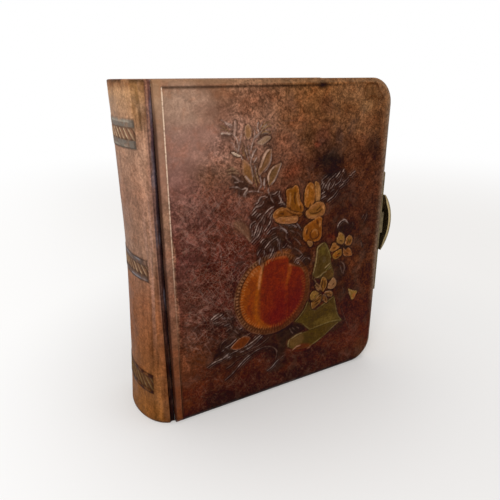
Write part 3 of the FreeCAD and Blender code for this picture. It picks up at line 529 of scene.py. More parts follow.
VEINS = [
    (PALE, 1.3, [
        (79.4, 162.6, 81.6, 167.4, 85, 171, 88.6, 173.6, 92, 174.6),
        (71.4, 147.4, 74, 149.8, 77, 152, 79.4, 155.4, 81, 159.6), (71.8, 170, 73.6, 171.4, 75.8, 173),
        (72.8, 173.6, 75, 175.8, 78, 176.4, 81, 177.4, 82.4, 179.6),
        (97, 186.4, 96.6, 182, 98.4, 179, 97, 176.4),
        (83.4, 155.6, 86, 158.6, 88.4, 162, 89.4, 166.4, 90.6, 170), (75.6, 166.6, 77.6, 169, 80, 170.2),
        (70.4, 160, 70.6, 162.4, 73, 164.4, 75.4, 165),
        (83.6, 140.6, 86, 143, 88.6, 145.4, 91.4, 147, 95, 148.6), (79.6, 145.6, 81, 147.6, 83.8, 149),
        (144.6, 172, 147, 173.6, 150.6, 175.6, 153, 178, 155.8, 181.2),
        (137, 186.4, 138.4, 188.6, 138, 190.6, 140.6, 192.6, 144, 194.6),
        (141.6, 184, 143.4, 187.4, 145, 189.6, 147, 191.2, 150, 193, 152.4, 195.2),
        (152, 191.4, 154, 193, 156.6, 196.4), (147, 182.6, 149.6, 184.6, 151.8, 188.6),
        (159.4, 195.4, 160.6, 197.8), (138.4, 182.8, 139.6, 185.6, 140.4, 188.2),
        (157.6, 146, 158.2, 149, 160.2, 151.6, 163, 152.8, 166, 152.4, 168.6, 149.6),
        (60, 39, 63, 41.4, 66, 43.4, 69, 45), (29, 45.6, 36, 48.4, 44, 49.4, 52, 52, 60, 53.4),
        (64, 54, 72, 57, 80, 61.6), (73.4, 178.4, 77, 179.6, 80, 182.4),
        (86.6, 166.4, 88.4, 169.6, 91.6, 171.8), (73.4, 152.6, 75.4, 157, 76.6, 161.6),
        (34, 88.6, 37, 90.8, 41, 92.4),
    ]),
    (PALE, 1.0, [
        (89.6, 185, 92, 184.6, 95, 186.4), (95.6, 176.4, 99, 176.8, 102.6, 174.8),
        (77.6, 181.4, 79.6, 183.4, 83, 183.6, 86, 182.6), (86.2, 190, 86, 187.6, 87.2, 186),
        (75.4, 157.8, 77.4, 162.4, 80, 165), (72, 157.6, 72, 153.4),
        (88.6, 184.6, 89, 181.4, 91.2, 177.8), (144.4, 181.6, 145.2, 184.4, 146.8, 187.8),
        (156.4, 183, 159, 184.4, 162.2, 186.2), (166.4, 191.6, 168.6, 191.8, 170, 193.6, 172.8, 194.8),
        (137.2, 178, 139.4, 179.6, 142, 180.8), (35.4, 87.4, 38.4, 88.6, 42, 89.8, 44, 91.2),
        (35, 85.6, 38, 84.6, 42, 84.4),
    ]),
    (DUSK, 1.1, [
        (85.6, 152.4, 88, 154.4, 90, 156, 94, 156.4, 98, 155.4, 102, 154, 104.6, 152.4),
        (97, 158.8, 99.4, 156, 102.4, 153.4, 104.8, 150.4),
        (99, 159.4, 103, 158.6, 107, 156.8, 111, 156, 114.4, 154), (114, 157, 116.4, 154.6, 117.8, 152),
        (76.6, 136, 78, 138.4, 80.2, 140.8), (88.6, 143.6, 89.6, 141, 88.8, 137.4),
        (92.6, 141, 91.6, 137.6, 89.4, 134, 87.6, 131.6), (95.4, 147, 96.6, 144, 95.6, 140),
        (98.4, 146, 97.6, 141, 97.4, 137), (101, 138, 103, 139, 104.6, 141.4),
        (83, 139, 83.4, 136, 82.4, 134), (79.4, 133.6, 78.6, 130.6, 78.4, 127.6),
        (152, 185, 155, 186.4, 157.6, 188.4, 159, 193), (137.8, 174.6, 140, 176, 143, 177),
        (148, 180, 151.2, 181.6), (160.6, 186.6, 164, 188.6, 166.2, 190.6), (44, 87, 47.4, 86.6),
        (49, 86.4, 51, 85.2, 54, 86.4), (45.4, 79.6, 48, 80.2, 51, 80.6), (59.4, 73, 61.8, 73.4),
        (42.6, 56.4, 44.8, 57.6), (44, 50, 47, 51.4, 49.6, 52.8), (48, 48.4, 50.8, 49.8),
        (44.6, 27.2, 52, 31.6, 59, 37.8, 65, 42.4, 70, 45, 78, 48, 86, 48.4),
        (60, 50, 65, 51, 70, 52.6, 76, 55.6, 81.6, 60), (86.6, 22.8, 92, 25.4, 96, 29, 99.6, 31.2),
        (46, 59, 50, 60, 54, 62.6, 57, 64.6), (113, 123, 114.6, 125.6, 118, 126, 121, 127.8),
        (120.6, 122, 123, 124.2, 126.6, 124.4, 129.4, 122.4), (116, 121.4, 117, 122.2),
    ]),
    (SHADE, 1.0, [
        (81.8, 161, 83.4, 164, 84, 168.4), (84.8, 150.8, 83, 153.6),
        (104, 150, 104.2, 146, 106, 142.6, 110, 140.6), (105.6, 139.4, 108, 137.6, 110.8, 135.8),
        (112, 136, 117, 132.6, 121.4, 128.4), (46, 93, 49, 92.4, 51.8, 91), (50.4, 78.6, 52.6, 76.8),
        (53.6, 74, 56, 72, 57.4, 69.6), (114, 150, 118, 146.6, 119.6, 143),
        (41.4, 59, 42, 62.6, 44.6, 65.6, 48, 66.8), (36.6, 50, 40, 51.2),
        (46, 38.6, 51, 40.4, 56, 43.6, 60.4, 45), (72, 50.6, 78, 51.6, 84, 54.4, 88.4, 57),
        (72.6, 60, 75.6, 62.2), (84, 48.6, 90, 47, 95, 43.4, 97, 38, 96, 33), (101, 31.6, 104.2, 33.2),
        (117.4, 59, 120.2, 57), (110, 60, 111.6, 56, 114, 53.2),
        (162, 113.6, 166, 112, 168.4, 107, 168, 101), (163, 110, 165, 104.6, 166.4, 101.4),
        (168, 86.4, 169.6, 84, 169, 79.8), (174.6, 148.6, 175.4, 145), (184.6, 151, 187, 155.2),
        (187, 147, 189.6, 151.6, 190, 156.2), (112.6, 59.8, 115.2, 57.4), (158, 98, 161, 94.6),
        (185, 131, 187.4, 124), (111, 145, 115, 142.4, 118.6, 137.6), (108, 152, 113, 149.6),
        (90, 151, 94, 151.8), (56, 47, 64, 47.4, 72, 49), (40, 82.6, 44, 84, 48, 83.4),
        (48, 90.6, 50.6, 88.6, 52.4, 86), (47, 74, 50, 76, 53, 75.4), (62, 66.4, 66, 65, 70, 66.4),
    ]),
]

# Big blossom: outline, fill, shade; then the dark cuts and light strokes on its petals.
BLOSSOM = [
    ((103.2, 185, 105.6, 187, 109, 187.2, 112, 189, 114.6, 187, 115.4, 182, 117, 176, 120, 170.6, 119.4,
     166.6, 113, 165.6, 106.4, 168, 103.8, 173, 104.4, 178), "#7E4A20", "#643A10"),
    ((91.2, 167.2, 94, 170.8, 98, 172.2, 103.4, 171.4, 108, 168.2, 114, 166, 119.4, 164.6, 115, 162.6,
     106, 163.6, 99, 164.6, 94, 163.4), "#7E4A22", "#643812"),
    ((93.4, 163, 98, 164.2, 105, 163.2, 112.6, 163.4, 115, 161.4, 113.6, 158.6, 107, 158.2, 99.6, 159.4,
     95.4, 160.8), "#8A5836", "#6A4016"),
    ((122, 171.6, 121, 179, 122.2, 185.4, 124.6, 189.2, 127.4, 189.6, 130, 187, 131.6, 181, 131.4, 175,
     128.8, 171, 125, 169.6), "#8C5426", "#744314"),
    ((131.2, 189.6, 134, 189, 136.2, 185, 136.8, 178, 135.8, 172.6, 132.8, 172.2, 132.8, 179, 131.8,
     185.6), "#8E6038", "#6E441C"),
    ((123, 165, 126.6, 168.4, 131, 171.2, 136, 172.4, 140.8, 170.6, 142.8, 166.2, 141.4, 161.6, 137.6,
     160, 131, 159, 125.4, 160.6), "#865530", "#6C441C"),
    ((121.2, 146.6, 122, 151.6, 126, 154.8, 131, 157, 136, 159.2, 139.8, 157.6, 139.4, 152, 140, 146,
     139.2, 140.6, 136, 138.2, 131, 138.8, 125.4, 139.2, 122, 142), "#80481C", "#66370E"),
    ((125.4, 139, 129.8, 138.4, 131, 136, 128.6, 134.2), "#7A5434", "#5C3818"),
]
BLOSSOM_CUTS = [
    (111.6, 184.6, 111, 179, 112, 174), (107, 172, 107.6, 168.6),
    (104, 169.4, 109, 166.2, 114, 164.4, 119, 163.8), (127, 172.6, 126.6, 169.6), (117, 172, 117.6, 168),
    (127, 164.4, 131, 163.2, 136, 164, 139.4, 166),
    (129.4, 148.6, 127.8, 145.4, 129.4, 141.6, 133, 140.4, 136.8, 142.6, 137, 146.4),
    (134, 157, 135.6, 153.4), (124.4, 146, 124.4, 150), (101, 167.2, 97, 168),
    (133.6, 165.4, 137.6, 168.4), (120.4, 165, 122.4, 161), (120.6, 176, 120.4, 182),
    (93.6, 161.6, 99, 158.4, 108, 157.2), (116.4, 179, 118.4, 174.6),
]
BLOSSOM_LINES = [
    (106.6, 184, 106.8, 178, 106, 173), (113.4, 183, 113.8, 178, 116, 172),
    (103.6, 161.4, 108.6, 162, 113.4, 161.4), (94, 168.4, 97, 170.6, 101, 170.8),
    (134, 187, 134.8, 180, 134.2, 175), (124, 184, 123.4, 178), (139.6, 169, 141.2, 165.6),
    (130, 146.6, 131.6, 148.8, 134.4, 148, 135.4, 145), (123, 148, 124.2, 152), (137.8, 156, 137.6, 151),
    (128.4, 161.4, 133, 160.6), (126.4, 187.4, 129, 185),
]

# Two small flowers: petals with fill and rim, the cuts between them, then washes over them.
SMALL_PETALS = [
    ((157.4, 133, 157.6, 137, 159, 138.4, 159.4, 141.8, 162, 141.2, 164.8, 139, 166, 136, 166.2, 132.6,
     164, 130.4, 160.6, 131.4), "#77522A", "#A87C50"),
    ((167.2, 130.6, 168.2, 135, 170.6, 137.2, 173.2, 136.6, 175, 134.4, 175.2, 130.8, 173, 127.8, 169,
     128.2), "#744822", "#A67A58"),
    ((150.3, 126.8, 152, 129.8, 153.2, 132.8, 156.2, 132.8, 158, 130.4, 161, 127.8, 158, 126, 154, 125.2),
     "#7E5128", "#AE8256"),
    ((153.8, 121, 156, 123.8, 159, 125, 162.8, 125.6, 164, 123, 163.8, 120, 161, 118.4, 158, 117, 155.2,
     118.4), "#7A4E1E", "#A67C44"),
    ((165.4, 126.4, 168, 124, 171, 125.4, 173.6, 124, 175.2, 121, 176, 117.4, 172, 117.6, 168.4, 118,
     165.8, 121), "#744420", "#A6785A"),
    ((144.6, 87.6, 143, 90, 141.8, 94, 142, 98, 143.2, 101.8, 145.2, 102, 147, 100.4, 149, 97.4, 149.2,
     93.6, 147.4, 90.8, 145.8, 88.6), "#71491F", "#A07850"),
    ((150, 92.4, 152, 95.4, 154, 97.4, 155.6, 99, 157.6, 98, 159.4, 95, 159.8, 92, 157.8, 89.2, 154.6,
     88.4, 151.2, 89.8), "#7C5638", "#A67E5A"),
    ((131.2, 87, 133.2, 90.2, 136, 90.6, 138.8, 88.6, 141, 86.4, 138.4, 83.2, 134.8, 81.4, 131.8, 83.2),
     "#75522A", "#9E7C44"),
    ((132.8, 79.8, 136, 82, 140.4, 84.6, 144, 85.6, 144.4, 81.4, 142.4, 77.6, 138, 74.6, 134.2, 73.4, 133,
     76.2), "#67431F", "#9A7450"),
    ((145.8, 85, 148.4, 82.8, 150.6, 79, 150.4, 75.8, 147.8, 76.8, 146.2, 79, 144.4, 79.6, 144.4, 82),
     "#664020", "#A88268"),
    ((147, 86.6, 150.4, 87.2, 153.8, 86.6, 156.4, 83.8, 155.6, 80.8, 152.4, 81.4, 149.4, 82.6, 147.4,
     84.6), "#6C4828", "#AC866C"),
    ((137, 98, 140, 95.8, 143, 92, 142.6, 90, 139.4, 90.4, 137, 93.2, 136.2, 96), "#6E4C2E", "#9A785C"),
]
SMALL_CUTS = [
    (156.6, 133.2, 160, 130.6, 163.6, 128.6, 168, 127.8, 175.6, 126.6),
    (164.7, 127, 164.6, 122, 164.9, 117.6), (166.6, 131.6, 167.2, 136),
    (158, 126, 161, 126.6, 164, 127.6), (164.6, 127.8, 168, 126, 171, 126.2), (157.4, 119, 160, 119.6),
    (153.2, 128.4, 156.4, 128.2), (160.6, 134.4, 163.6, 133.2), (169.8, 129.8, 170.4, 133.4),
    (172.2, 130, 172.6, 133.6), (168.4, 121.4, 171.4, 119.4), (159, 121.4, 162, 122.4),
    (142.8, 92, 143.6, 96, 143.8, 99.6), (146.2, 91.6, 146.6, 95, 146.2, 98.6),
    (149.6, 90.4, 150, 94, 149.4, 97), (141, 90.4, 143.4, 88.6, 145.4, 86.6),
    (134, 101, 137, 96.6, 140, 93.4), (133.4, 97.6, 136.4, 93.6), (139.6, 86.4, 142.4, 86.4, 145.4, 86.4),
    (145.4, 86.2, 148.4, 87.8, 152, 87.6, 158, 87), (140.8, 84, 143, 84.6, 144.8, 86),
    (145, 85.6, 144.8, 82, 143.6, 78), (146.4, 85.8, 149, 83.4, 151.4, 79.4, 151.6, 76.6),
    (135.6, 85.4, 137.6, 86), (147.8, 85.2, 150.6, 84.6, 153, 84.6), (136, 79.4, 139, 80.4, 141.8, 82.2),
    (136.6, 77, 140, 78.4), (130.6, 84.4, 131.4, 81.4, 134, 80.6, 137, 82.2), (151, 96.4, 153, 99),
    (155.4, 92, 157, 93.4), (147.6, 80.6, 148.6, 78.2), (152.4, 83.2, 154.4, 82.6),
]

SMALL_WASHES = [
    ((161, 139, 163.4, 138, 164, 136, 161.6, 135.6), "#6E5218", 0.6, 0.8),
    ((154, 129.6, 156, 129.4, 156, 127.6, 153.6, 127.4), "#8A4F18", 0.7, 0.7),
    ((156.4, 121.6, 160, 121.4, 160, 119.6, 157, 119.2), "#853F10", 0.8, 0.7),
    ((168, 121.4, 173, 121.6, 174, 119.2, 170, 118.8), "#86502E", 0.6, 0.8),
    ((133.4, 87, 136, 87.6, 137, 85, 134.6, 84), "#74561E", 0.5, 0.7),
    ((144, 87.6, 147, 87.4, 146.4, 85, 143.4, 85.4), "#64200E", 0.8, 0.7),
    ((153, 95, 156.4, 96.4, 157, 93.6, 153.6, 93), "#8C6646", 0.5, 0.8),
    ((170, 135, 173, 135, 172.6, 132, 170.4, 132), "#6C5420", 0.5, 0.8),
]

# Green leaves: outline, fill, shade; then washes (outline, colour, strength, blur) and lines.
GREENS = [
    ((134, 105, 133, 110, 134.4, 118, 135.4, 126, 136, 131.6, 139, 134.2, 143, 135.6, 146, 133.6, 149,
     128, 151.4, 122, 152.4, 116, 154.4, 110, 156.6, 104, 155, 98, 149, 99, 142, 101), "#513E20",
     "#433216"),
    ((115, 65, 120, 69, 124.4, 74, 128, 80.6, 131, 80, 134, 74, 137, 70.6, 141, 72, 147, 75, 154, 78.6,
     158, 80.6, 160.4, 72, 162.4, 64, 165.4, 57.4, 170, 52, 163, 49.6, 157, 46, 152, 42.4, 146, 39.2, 139,
     36, 132, 34, 124, 34.4, 117, 36, 111, 39, 108, 43, 109, 48, 113, 49.4, 119, 51.6, 127, 51.6, 131,
     52.4, 128, 56, 123, 61, 118, 63.4), "#48361A", "#3C2C0E"),
]
GREEN_WASHES = [
    ((108, 47, 114, 50, 122, 51, 126, 46, 122, 40, 114, 39), "#6A4C2C", 0.6, 2.0),
    ((136, 58, 150, 62, 162, 62, 164, 55, 150, 54), "#5E4A22", 0.6, 3.0),
    ((132, 51, 140, 53.6, 150, 54, 144, 49, 136, 48), "#43320A", 0.6, 2.0),
    ((138, 128, 142, 132, 146, 129, 144, 124), "#54451C", 0.6, 2.0),
    ((137, 118, 141, 119, 144, 112, 143, 108, 136, 107), "#3A2A14", 0.6, 2.0),
    ((146, 106, 152, 108, 156, 102, 154, 98, 148, 98), "#4E3216", 0.7, 1.5),
    ((143, 122, 146, 121, 146, 117, 143, 117), "#5A4A38", 0.4, 1.0),
    ((116, 63, 122, 67, 128, 70, 132, 62, 126, 58), "#4A3A12", 0.4, 2.5),
    ((113, 35.2, 120, 39.6, 127, 39.4, 134, 36.4, 139, 35, 132, 31.4, 122, 31.6), "#5C2410", 0.85, 1.5),
    ((131, 84, 128, 80, 130, 76, 133, 78), "#3A2410", 0.6, 1.5),
]
GREEN_LINES = [
    ("#846C4A", 0.9, [
        (132.8, 103, 132.8, 107, 134.4, 113, 135.8, 120, 136.2, 126, 136.6, 131, 139, 133.6, 143, 135.2),
        (112, 48.8, 115, 49.8, 118.6, 51, 123.6, 51.8), (108.6, 40, 108.8, 45, 110, 48.4),
        (134, 102.6, 138, 103.4, 141.4, 104.4, 144, 106.4, 147.4, 107.4), (150, 109, 152.6, 110.4),
        (145.6, 110.8, 148.4, 112.6, 151.4, 114.6),
    ]),
    ("#76673A", 0.8, [
        (147.4, 108.8, 149.6, 110.6, 152, 112.4), (144, 135, 146, 133, 147.6, 130, 149.4, 126, 152, 120),
    ]),
    ("#6C5A36", 0.8, [
        (124, 60.4, 127.8, 56.4, 131.8, 52.4), (115.6, 65.4, 121, 70, 126, 76.4, 129, 83),
        (133, 52.8, 142, 53.6, 152, 54.4, 162, 54, 168.6, 52.6), (137.2, 71, 146, 74.8, 157, 79.6),
        (158.4, 79, 161, 70, 164, 60, 168, 53.8), (133, 35, 140, 37.4, 147, 40.6),
        (150, 42.4, 157, 46.6, 165, 51.2),
    ]),
    ("#A07258", 1.0, [
        (114, 36, 118, 38.6, 122.4, 38.8), (130.6, 33, 134.6, 33.6),
    ]),
]
# Echoes of each vein that fill the foliage: how far beside it, share of its width, strength.
ECHOES = (((2.7, -3.2), 0.35, 0.26), ((-1.2, 1.6), 0.35, 0.34), ((1.4, -1.7), 0.45, 0.5))

HAIR_SCRATCHES = 110
SCRATCHES = [
    (22, 196, 30, 189, 40, 178), (18, 134, 34, 137, 50, 136), (22, 118, 36, 106, 52, 92),
    (20, 86, 28, 76, 44, 64), (44, 150, 45, 136, 42, 124), (14, 78, 22, 86, 30, 90),
    (60, 137, 56, 128, 50, 120), (26, 160, 36, 166, 44, 164), (70, 132, 62, 133, 54, 132),
    (24, 122, 30, 108, 44, 96), (16, 108, 26, 96, 30, 84), (82, 222, 96, 238, 112, 240),
    (12, 262, 24, 256, 34, 250), (168, 66, 174, 52, 180, 40),
]

# The medallion's three swelling lobes, with fill and shade, then the washes over them.
LOBES = [
    ((81.6, 68.6, 72, 73, 65, 80, 61.4, 90, 60.8, 100, 62.6, 110, 66, 117, 70, 122, 75, 126, 79.4, 126,
     82, 118, 82.6, 100, 81.8, 84), "#7C390C", "#70320A"),
    ((104, 121, 108, 122.6, 112, 119.8, 118, 117.6, 122, 113.6, 124.6, 106, 125, 97, 122.8, 86, 117, 77,
     108, 70, 98, 66, 98, 84, 102, 104), "#66210A", "#5C1D08"),
    ((80.8, 72, 79.4, 84, 79.6, 96, 80.4, 108, 82, 119, 84, 127, 87, 130.2, 96, 131, 104, 130, 106.6, 127,
     107.4, 118, 106.6, 104, 107.4, 88, 107, 72, 98, 66.4, 88, 66.6), "#6E280B", "#621F08"),
]
LOBE_WASHES = [
    ((84, 70, 96, 65, 110, 69, 120, 78, 124, 92, 112, 94, 98, 84, 86, 80), "#551406", 0.6, 7.0),
    ((82, 128, 81, 118, 79.4, 108, 77.6, 99, 76.6, 88, 78.6, 79, 84, 72, 90, 67.4, 84, 67, 78, 71, 74.4,
     78, 73.6, 88, 74.2, 98, 75.4, 108, 77.6, 119, 79, 127), "#8E4A18", 0.7, 1.2),
    ((82.4, 127, 81.2, 120, 79.8, 113, 78.6, 106, 77.2, 106, 77.6, 114, 79.4, 122), "#AC7048", 0.7, 0.9),
    ((67, 123, 71, 125, 76, 125, 79, 119, 76, 117, 70, 118), "#8A4C26", 0.55, 1.6),
    ((72, 96, 72.4, 90, 73.4, 85, 71.6, 85, 70.6, 90, 70.8, 96), "#84420F", 0.5, 0.7),
    ((83, 124, 84, 112, 82.6, 98, 81, 86, 83, 76, 86.4, 76, 85, 88, 86.6, 100, 87.4, 112, 86.4, 124),
     "#5C1F06", 0.5, 2.0),
    ((96, 104, 104, 100, 104, 82, 98, 72, 90, 74, 92, 90), "#561004", 0.5, 5.0),
    ((62, 106, 66, 112, 70, 108, 68, 94, 64, 92), "#7C3E0C", 0.5, 3.0),
    ((70, 84, 72, 92, 72, 100, 69, 98, 67, 88), "#6C2A06", 0.7, 2.0),
    ((108, 123, 110.4, 119, 109, 112, 106, 104.4, 104.4, 104.4, 105.8, 112, 106.4, 119), "#84401E", 0.7,
     1.3),
    ((107, 122, 112, 120, 119, 117.4, 123, 112, 121.6, 115.6, 116, 119, 110, 122.4), "#98593C", 0.7, 0.9),
    ((84.6, 129, 90, 131, 98, 131.4, 105, 130.6, 104, 128.6, 96, 129, 88, 128.4), "#8E4A28", 0.6, 0.9),
    ((92, 132, 100, 132.6, 107, 131.6, 110, 134.6, 104, 137.4, 96, 136.4), "#7A4626", 0.8, 1.2),
]

# Middle, radius and border of the medallion in millimetres, and the pitch of its fringe in degrees.
MEDALLION = (92.5, 97.5)
MEDALLION_RADIUS = 37.8
BORDER_WIDTH = 6.6
BORDER_KEYS = 74
FRINGE_STROKES = 62
FRINGE_PITCH = 4.6


def medallion(stamp):
    """A round field with a border of keys and a fringe, filled by three swelling lobes."""
    cx, cz = MEDALLION
    x, z = stamp.x - cx, stamp.z - cz
    at = np.nonzero(np.hypot(x, z) < MEDALLION_RADIUS + 2)[0]
    r, a = np.hypot(x, z)[at], np.arctan2(z, x)[at]
    low = MEDALLION_RADIUS - r
    soft = ramp(low, -0.4, 0.4)
    # Painted highlight: the border's keys and rail are lighter on their lit side.
    lit = 0.5 - 0.5 * np.cos(a + 0.6)
    stamp.height[at] = np.maximum(stamp.height[at], soft * stamp.relief * 0.4)
    stamp.tint(at, "#4E2914", soft * 0.92)
    stamp.tint(at, "#643418", soft * 0.6 * ramp(x[at], 8, 34) * ramp(z[at], -20, 6))
    stamp.ink[at] *= 1 - 0.9 * soft
    turn = (a / math.tau * BORDER_KEYS) % 1
    dash = ramp(np.abs(turn - 0.5), 0.36, 0.2) * ramp(low, 1.2, 1.8) * ramp(low, 4.4, 3.6)
    dash *= 0.2 + 0.8 * lit ** 2
    stamp.tint(at, "#8A5E40", dash * 0.85)
    stamp.height[at] += 0.2 * dash * stamp.relief
    gap = ramp(low, 0.9, 1.4) * ramp(low, 5.0, 4.2) * (1 - dash) * (0.4 + 0.6 * lit)
    stamp.ink[at] = np.maximum(stamp.ink[at], 0.5 * gap)
    rail = (1 - ramp(np.abs(low - 0.6), 0.2, 0.8)) * (0.2 + 0.8 * lit)
    rail *= ramp(cloud(x[at], z[at], 8, 3), 0.3, 0.6)
    stamp.tint(at, "#84604A", rail * 0.6)
    foot = MEDALLION_RADIUS - BORDER_WIDTH
    for points, fill, shade in LOBES:
        stamp.panel(points, fill, rise=0.85, crown=7.0, shade=shade, halo=0.1)
    stamp.washes(LOBE_WASHES)
    for k in range(FRINGE_STROKES):
        theta = math.radians(100 + k * FRINGE_PITCH)
        # Painted highlight: the fringe strokes are lighter on their lit side.
        bright = 0.5 - 0.5 * math.cos(theta + 0.5)
        ring = [(cx + math.cos(theta) * q, cz + math.sin(theta) * q)
                for q in (foot + 1.4, foot + 0.2, foot - 1.4 - 0.8 * (k % 2))]
        stamp.line(ring, "#A06C42", 0.4, 0.2 + 0.4 * bright, lift=0.2)


def strike_ornament(stamp):
    """Presses and colours the whole bouquet, each coat over the one before it."""
    # Scratches of the worn, dry field: the long ones listed, the hair-fine ones drawn at random.
    draw = np.random.default_rng(11)
    for points in SCRATCHES:
        stamp.line(points, PALE, 0.5, 0.36, lift=-0.2)
    for x, z, slant, run in draw.random((HAIR_SCRATCHES, 4)):
        x, z = 10 + 62 * x, 62 + 134 * z
        slant = math.radians(20 + 110 * slant) * (1 if run > 0.35 else -1)
        step = np.array([math.cos(slant), math.sin(slant)]) * (3 + 8 * run)
        stamp.line([(x, z), (x + step[0], z + step[1] + 1.2), (x + 2 * step[0], z + 2 * step[1])],
                   "#A58478", 0.35, 0.16 + 0.2 * run, lift=-0.15)
    # A dried spill near the head, and the two dark tendrils above the blossom.
    stamp.wash(TIDE_LINE, "#7E5430", 0.5, 0.8)
    stamp.line(TIDE_LINE, "#4E2810", 1.5, 0.8, lift=0)
    stamp.line((132, 238, 126.4, 235, 123.4, 230, 123.6, 224), "#3A241C", 1.6, 0.5, lift=0)
    stamp.line((134, 238, 142, 238.4, 148, 236, 151.6, 231, 152, 224), "#3A241C", 1.4, 0.4, lift=0)
    # The blackened ground of the foliage, one curled leaf on it, and the medallion over both.
    for points, share in BLACKENED:
        stamp.patch(points, min(share * 1.12, 0.95), 1.6)
    stamp.wash((56, 166.6, 60, 167.4, 66, 164.4, 69.4, 160, 72, 152, 70, 148, 66, 153, 61, 158, 57, 162),
               "#74503C", 0.85, 1.4)
    stamp.line((56, 166, 61, 162, 66, 155, 70, 149), "#8E6A54", 0.9, 0.6, lift=0.3, shadow=0.5)
    medallion(stamp)
    # Two patches of that ground run on over the medallion's border.
    for points, share in (BLACKENED[2], BLACKENED[10]):
        stamp.patch(points, share * 0.8, 1.0)
    for code, width, runs in VEINS:
        for points in runs:
            run = np.array(points).reshape(-1, 2)
            for shift, thin, share in ECHOES:
                stamp.line(run + shift, code, width * thin, share, lift=0.3, shadow=0.5)
            stamp.line(run, code, width * 0.62, 0.92, shadow=0.9)
    # Green leaves, the big blossom, the two small flowers, two single leaves and the upper spray.
    for points, fill, shade in GREENS:
        stamp.panel(points, fill, rim="#6E5C3A", rise=0.6, crown=5.0, shade=shade, halo=0.6, rubbed=0.6)
    stamp.washes(GREEN_WASHES)
    stamp.lines(GREEN_LINES, 0.75)
    for points, fill, shade in BLOSSOM:
        stamp.panel(points, fill, rim="#A87648", shade=shade, crown=4.0, halo=0.85, grow=0.5, rubbed=0.75)
    for points in BLOSSOM_LINES:
        stamp.line(points, "#AC7848", 1.2, 0.5, lift=0.3)
    for points in BLOSSOM_CUTS:
        stamp.cut(points, 0.9, 0.75)
    stamp.line((134.6, 102, 136.6, 99, 137.8, 96.4), "#8A6C50", 0.9, 0.8, shadow=0.7)
    for points, fill, rim in SMALL_PETALS:
        stamp.panel(points, fill, rim=rim, crown=1.8, halo=0.9, grow=0.3, rubbed=0.9)
    stamp.washes(SMALL_WASHES)
    for points in SMALL_CUTS:
        stamp.cut(points, 0.8, 0.85)
    stamp.panel((174.8, 84, 177, 83, 180.4, 81.2, 186.2, 79, 184.6, 75.6, 182.8, 72, 180, 71.4, 177.4, 76,
                 175.8, 79.6), "#785828", rim="#A4845C", rubbed=0.8)
    stamp.wash((180, 77, 183.6, 77.4, 183.4, 73, 181, 72.6), "#834826", 0.75, 1.0)
    stamp.wash((175.8, 81, 177, 80, 178, 76, 176.6, 77.6), "#8E7058", 0.6, 0.7)
    stamp.panel((51, 57, 55, 61.4, 60, 64.5, 66, 64.5, 70, 61.5, 67, 57.5, 62, 54, 56, 54), "#66331A",
                rim="#A07A62", shade="#582A10", rubbed=0.8)
    for outline, fill, rim, shade in SPRAY:
        stamp.panel(outline, fill, rim=rim, shade=shade, crown=2.4, rubbed=0.8)
    for points in SPRAY_CUTS:
        stamp.cut(points, 0.8, 0.6)
    stamp.lines(SPRAY_LINES, 0.85)


# ---------------------------------------------------------------- finishes
#
# Values that nodes of one kind share. A range node takes its value at input 0, the range it comes from
# at 1 and 2, and the range it goes to at 3 and 4. A mix takes its share at 0 and its colours at 6 and 7.

SMOOTH = {"interpolation_type": "SMOOTHSTEP"}
OVER = {"data_type": "RGBA"}
TIMES, PLUS, LESS, MOST = ({"operation": name} for name in ("MULTIPLY", "ADD", "SUBTRACT", "MAXIMUM"))
TURNED = {"operation": "MULTIPLY_ADD"}


def per(size):
    """Texture scale of a pattern whose features are size millimetres across."""
    return 1 / (size * MM)


def add_node(tree, kind, values=()):
    """Adds a shader node and returns its outputs. A value is a property of the node, a socket that is
    linked to one of its inputs, or the constant of that input."""
    node = tree.nodes.new("ShaderNode" + kind)
    for key, value in dict(values).items():
        if isinstance(key, str) and hasattr(node, key):
            setattr(node, key, value)
        elif isinstance(value, bpy.types.NodeSocket):
            tree.links.new(value, node.inputs[key])
        else:
            socket = node.inputs[key]
            opaque = socket.type == "RGBA" and len(value) == 3
            socket.default_value = (*value, 1) if opaque else value
    return node.outputs


def new_material(name):
    """An empty material, its node tree, and the places of its surface in metres."""
    skin = bpy.data.materials.new(name)
    skin.use_nodes = True
    tree = skin.node_tree
    tree.nodes.clear()
    return skin, tree, add_node(tree, "TexCoord")["Object"]


def close_material(tree, values):
    shader = add_node(tree, "BsdfPrincipled", values)
    add_node(tree, "OutputMaterial", {"Surface": shader[0]})


def layered(tree, base, *coats):
    """Lays coats of colour over a base, each by its own share, and gives the colour on top."""
    for share, over in coats:
        base = add_node(tree, "Mix", {**OVER, 0: share, 6: base, 7: over})[2]
    return base


def scratches(tree, place, turn, drift, width):
    """Hair-thin scratches: the contour of a noise drawn out in one direction."""
    run = add_node(tree, "Mapping", {"vector_type": "TEXTURE", "Rotation": (0, turn, 0), "Scale": (1, 1, 9),
                                     "Location": (drift, 0, drift), "Vector": place})[0]
    drawn = add_node(tree, "TexNoise", {"Vector": run, "Scale": per(5), "Detail": 2.0,
                                        "Distortion": 0.3})[0]
    gap = add_node(tree, "Math", {**LESS, 0: drawn, 1: 0.5})[0]
    gap = add_node(tree, "Math", {"operation": "ABSOLUTE", 0: gap})[0]
    return add_node(tree, "MapRange", {**SMOOTH, 0: gap, 1: width, 2: 0.0})[0]


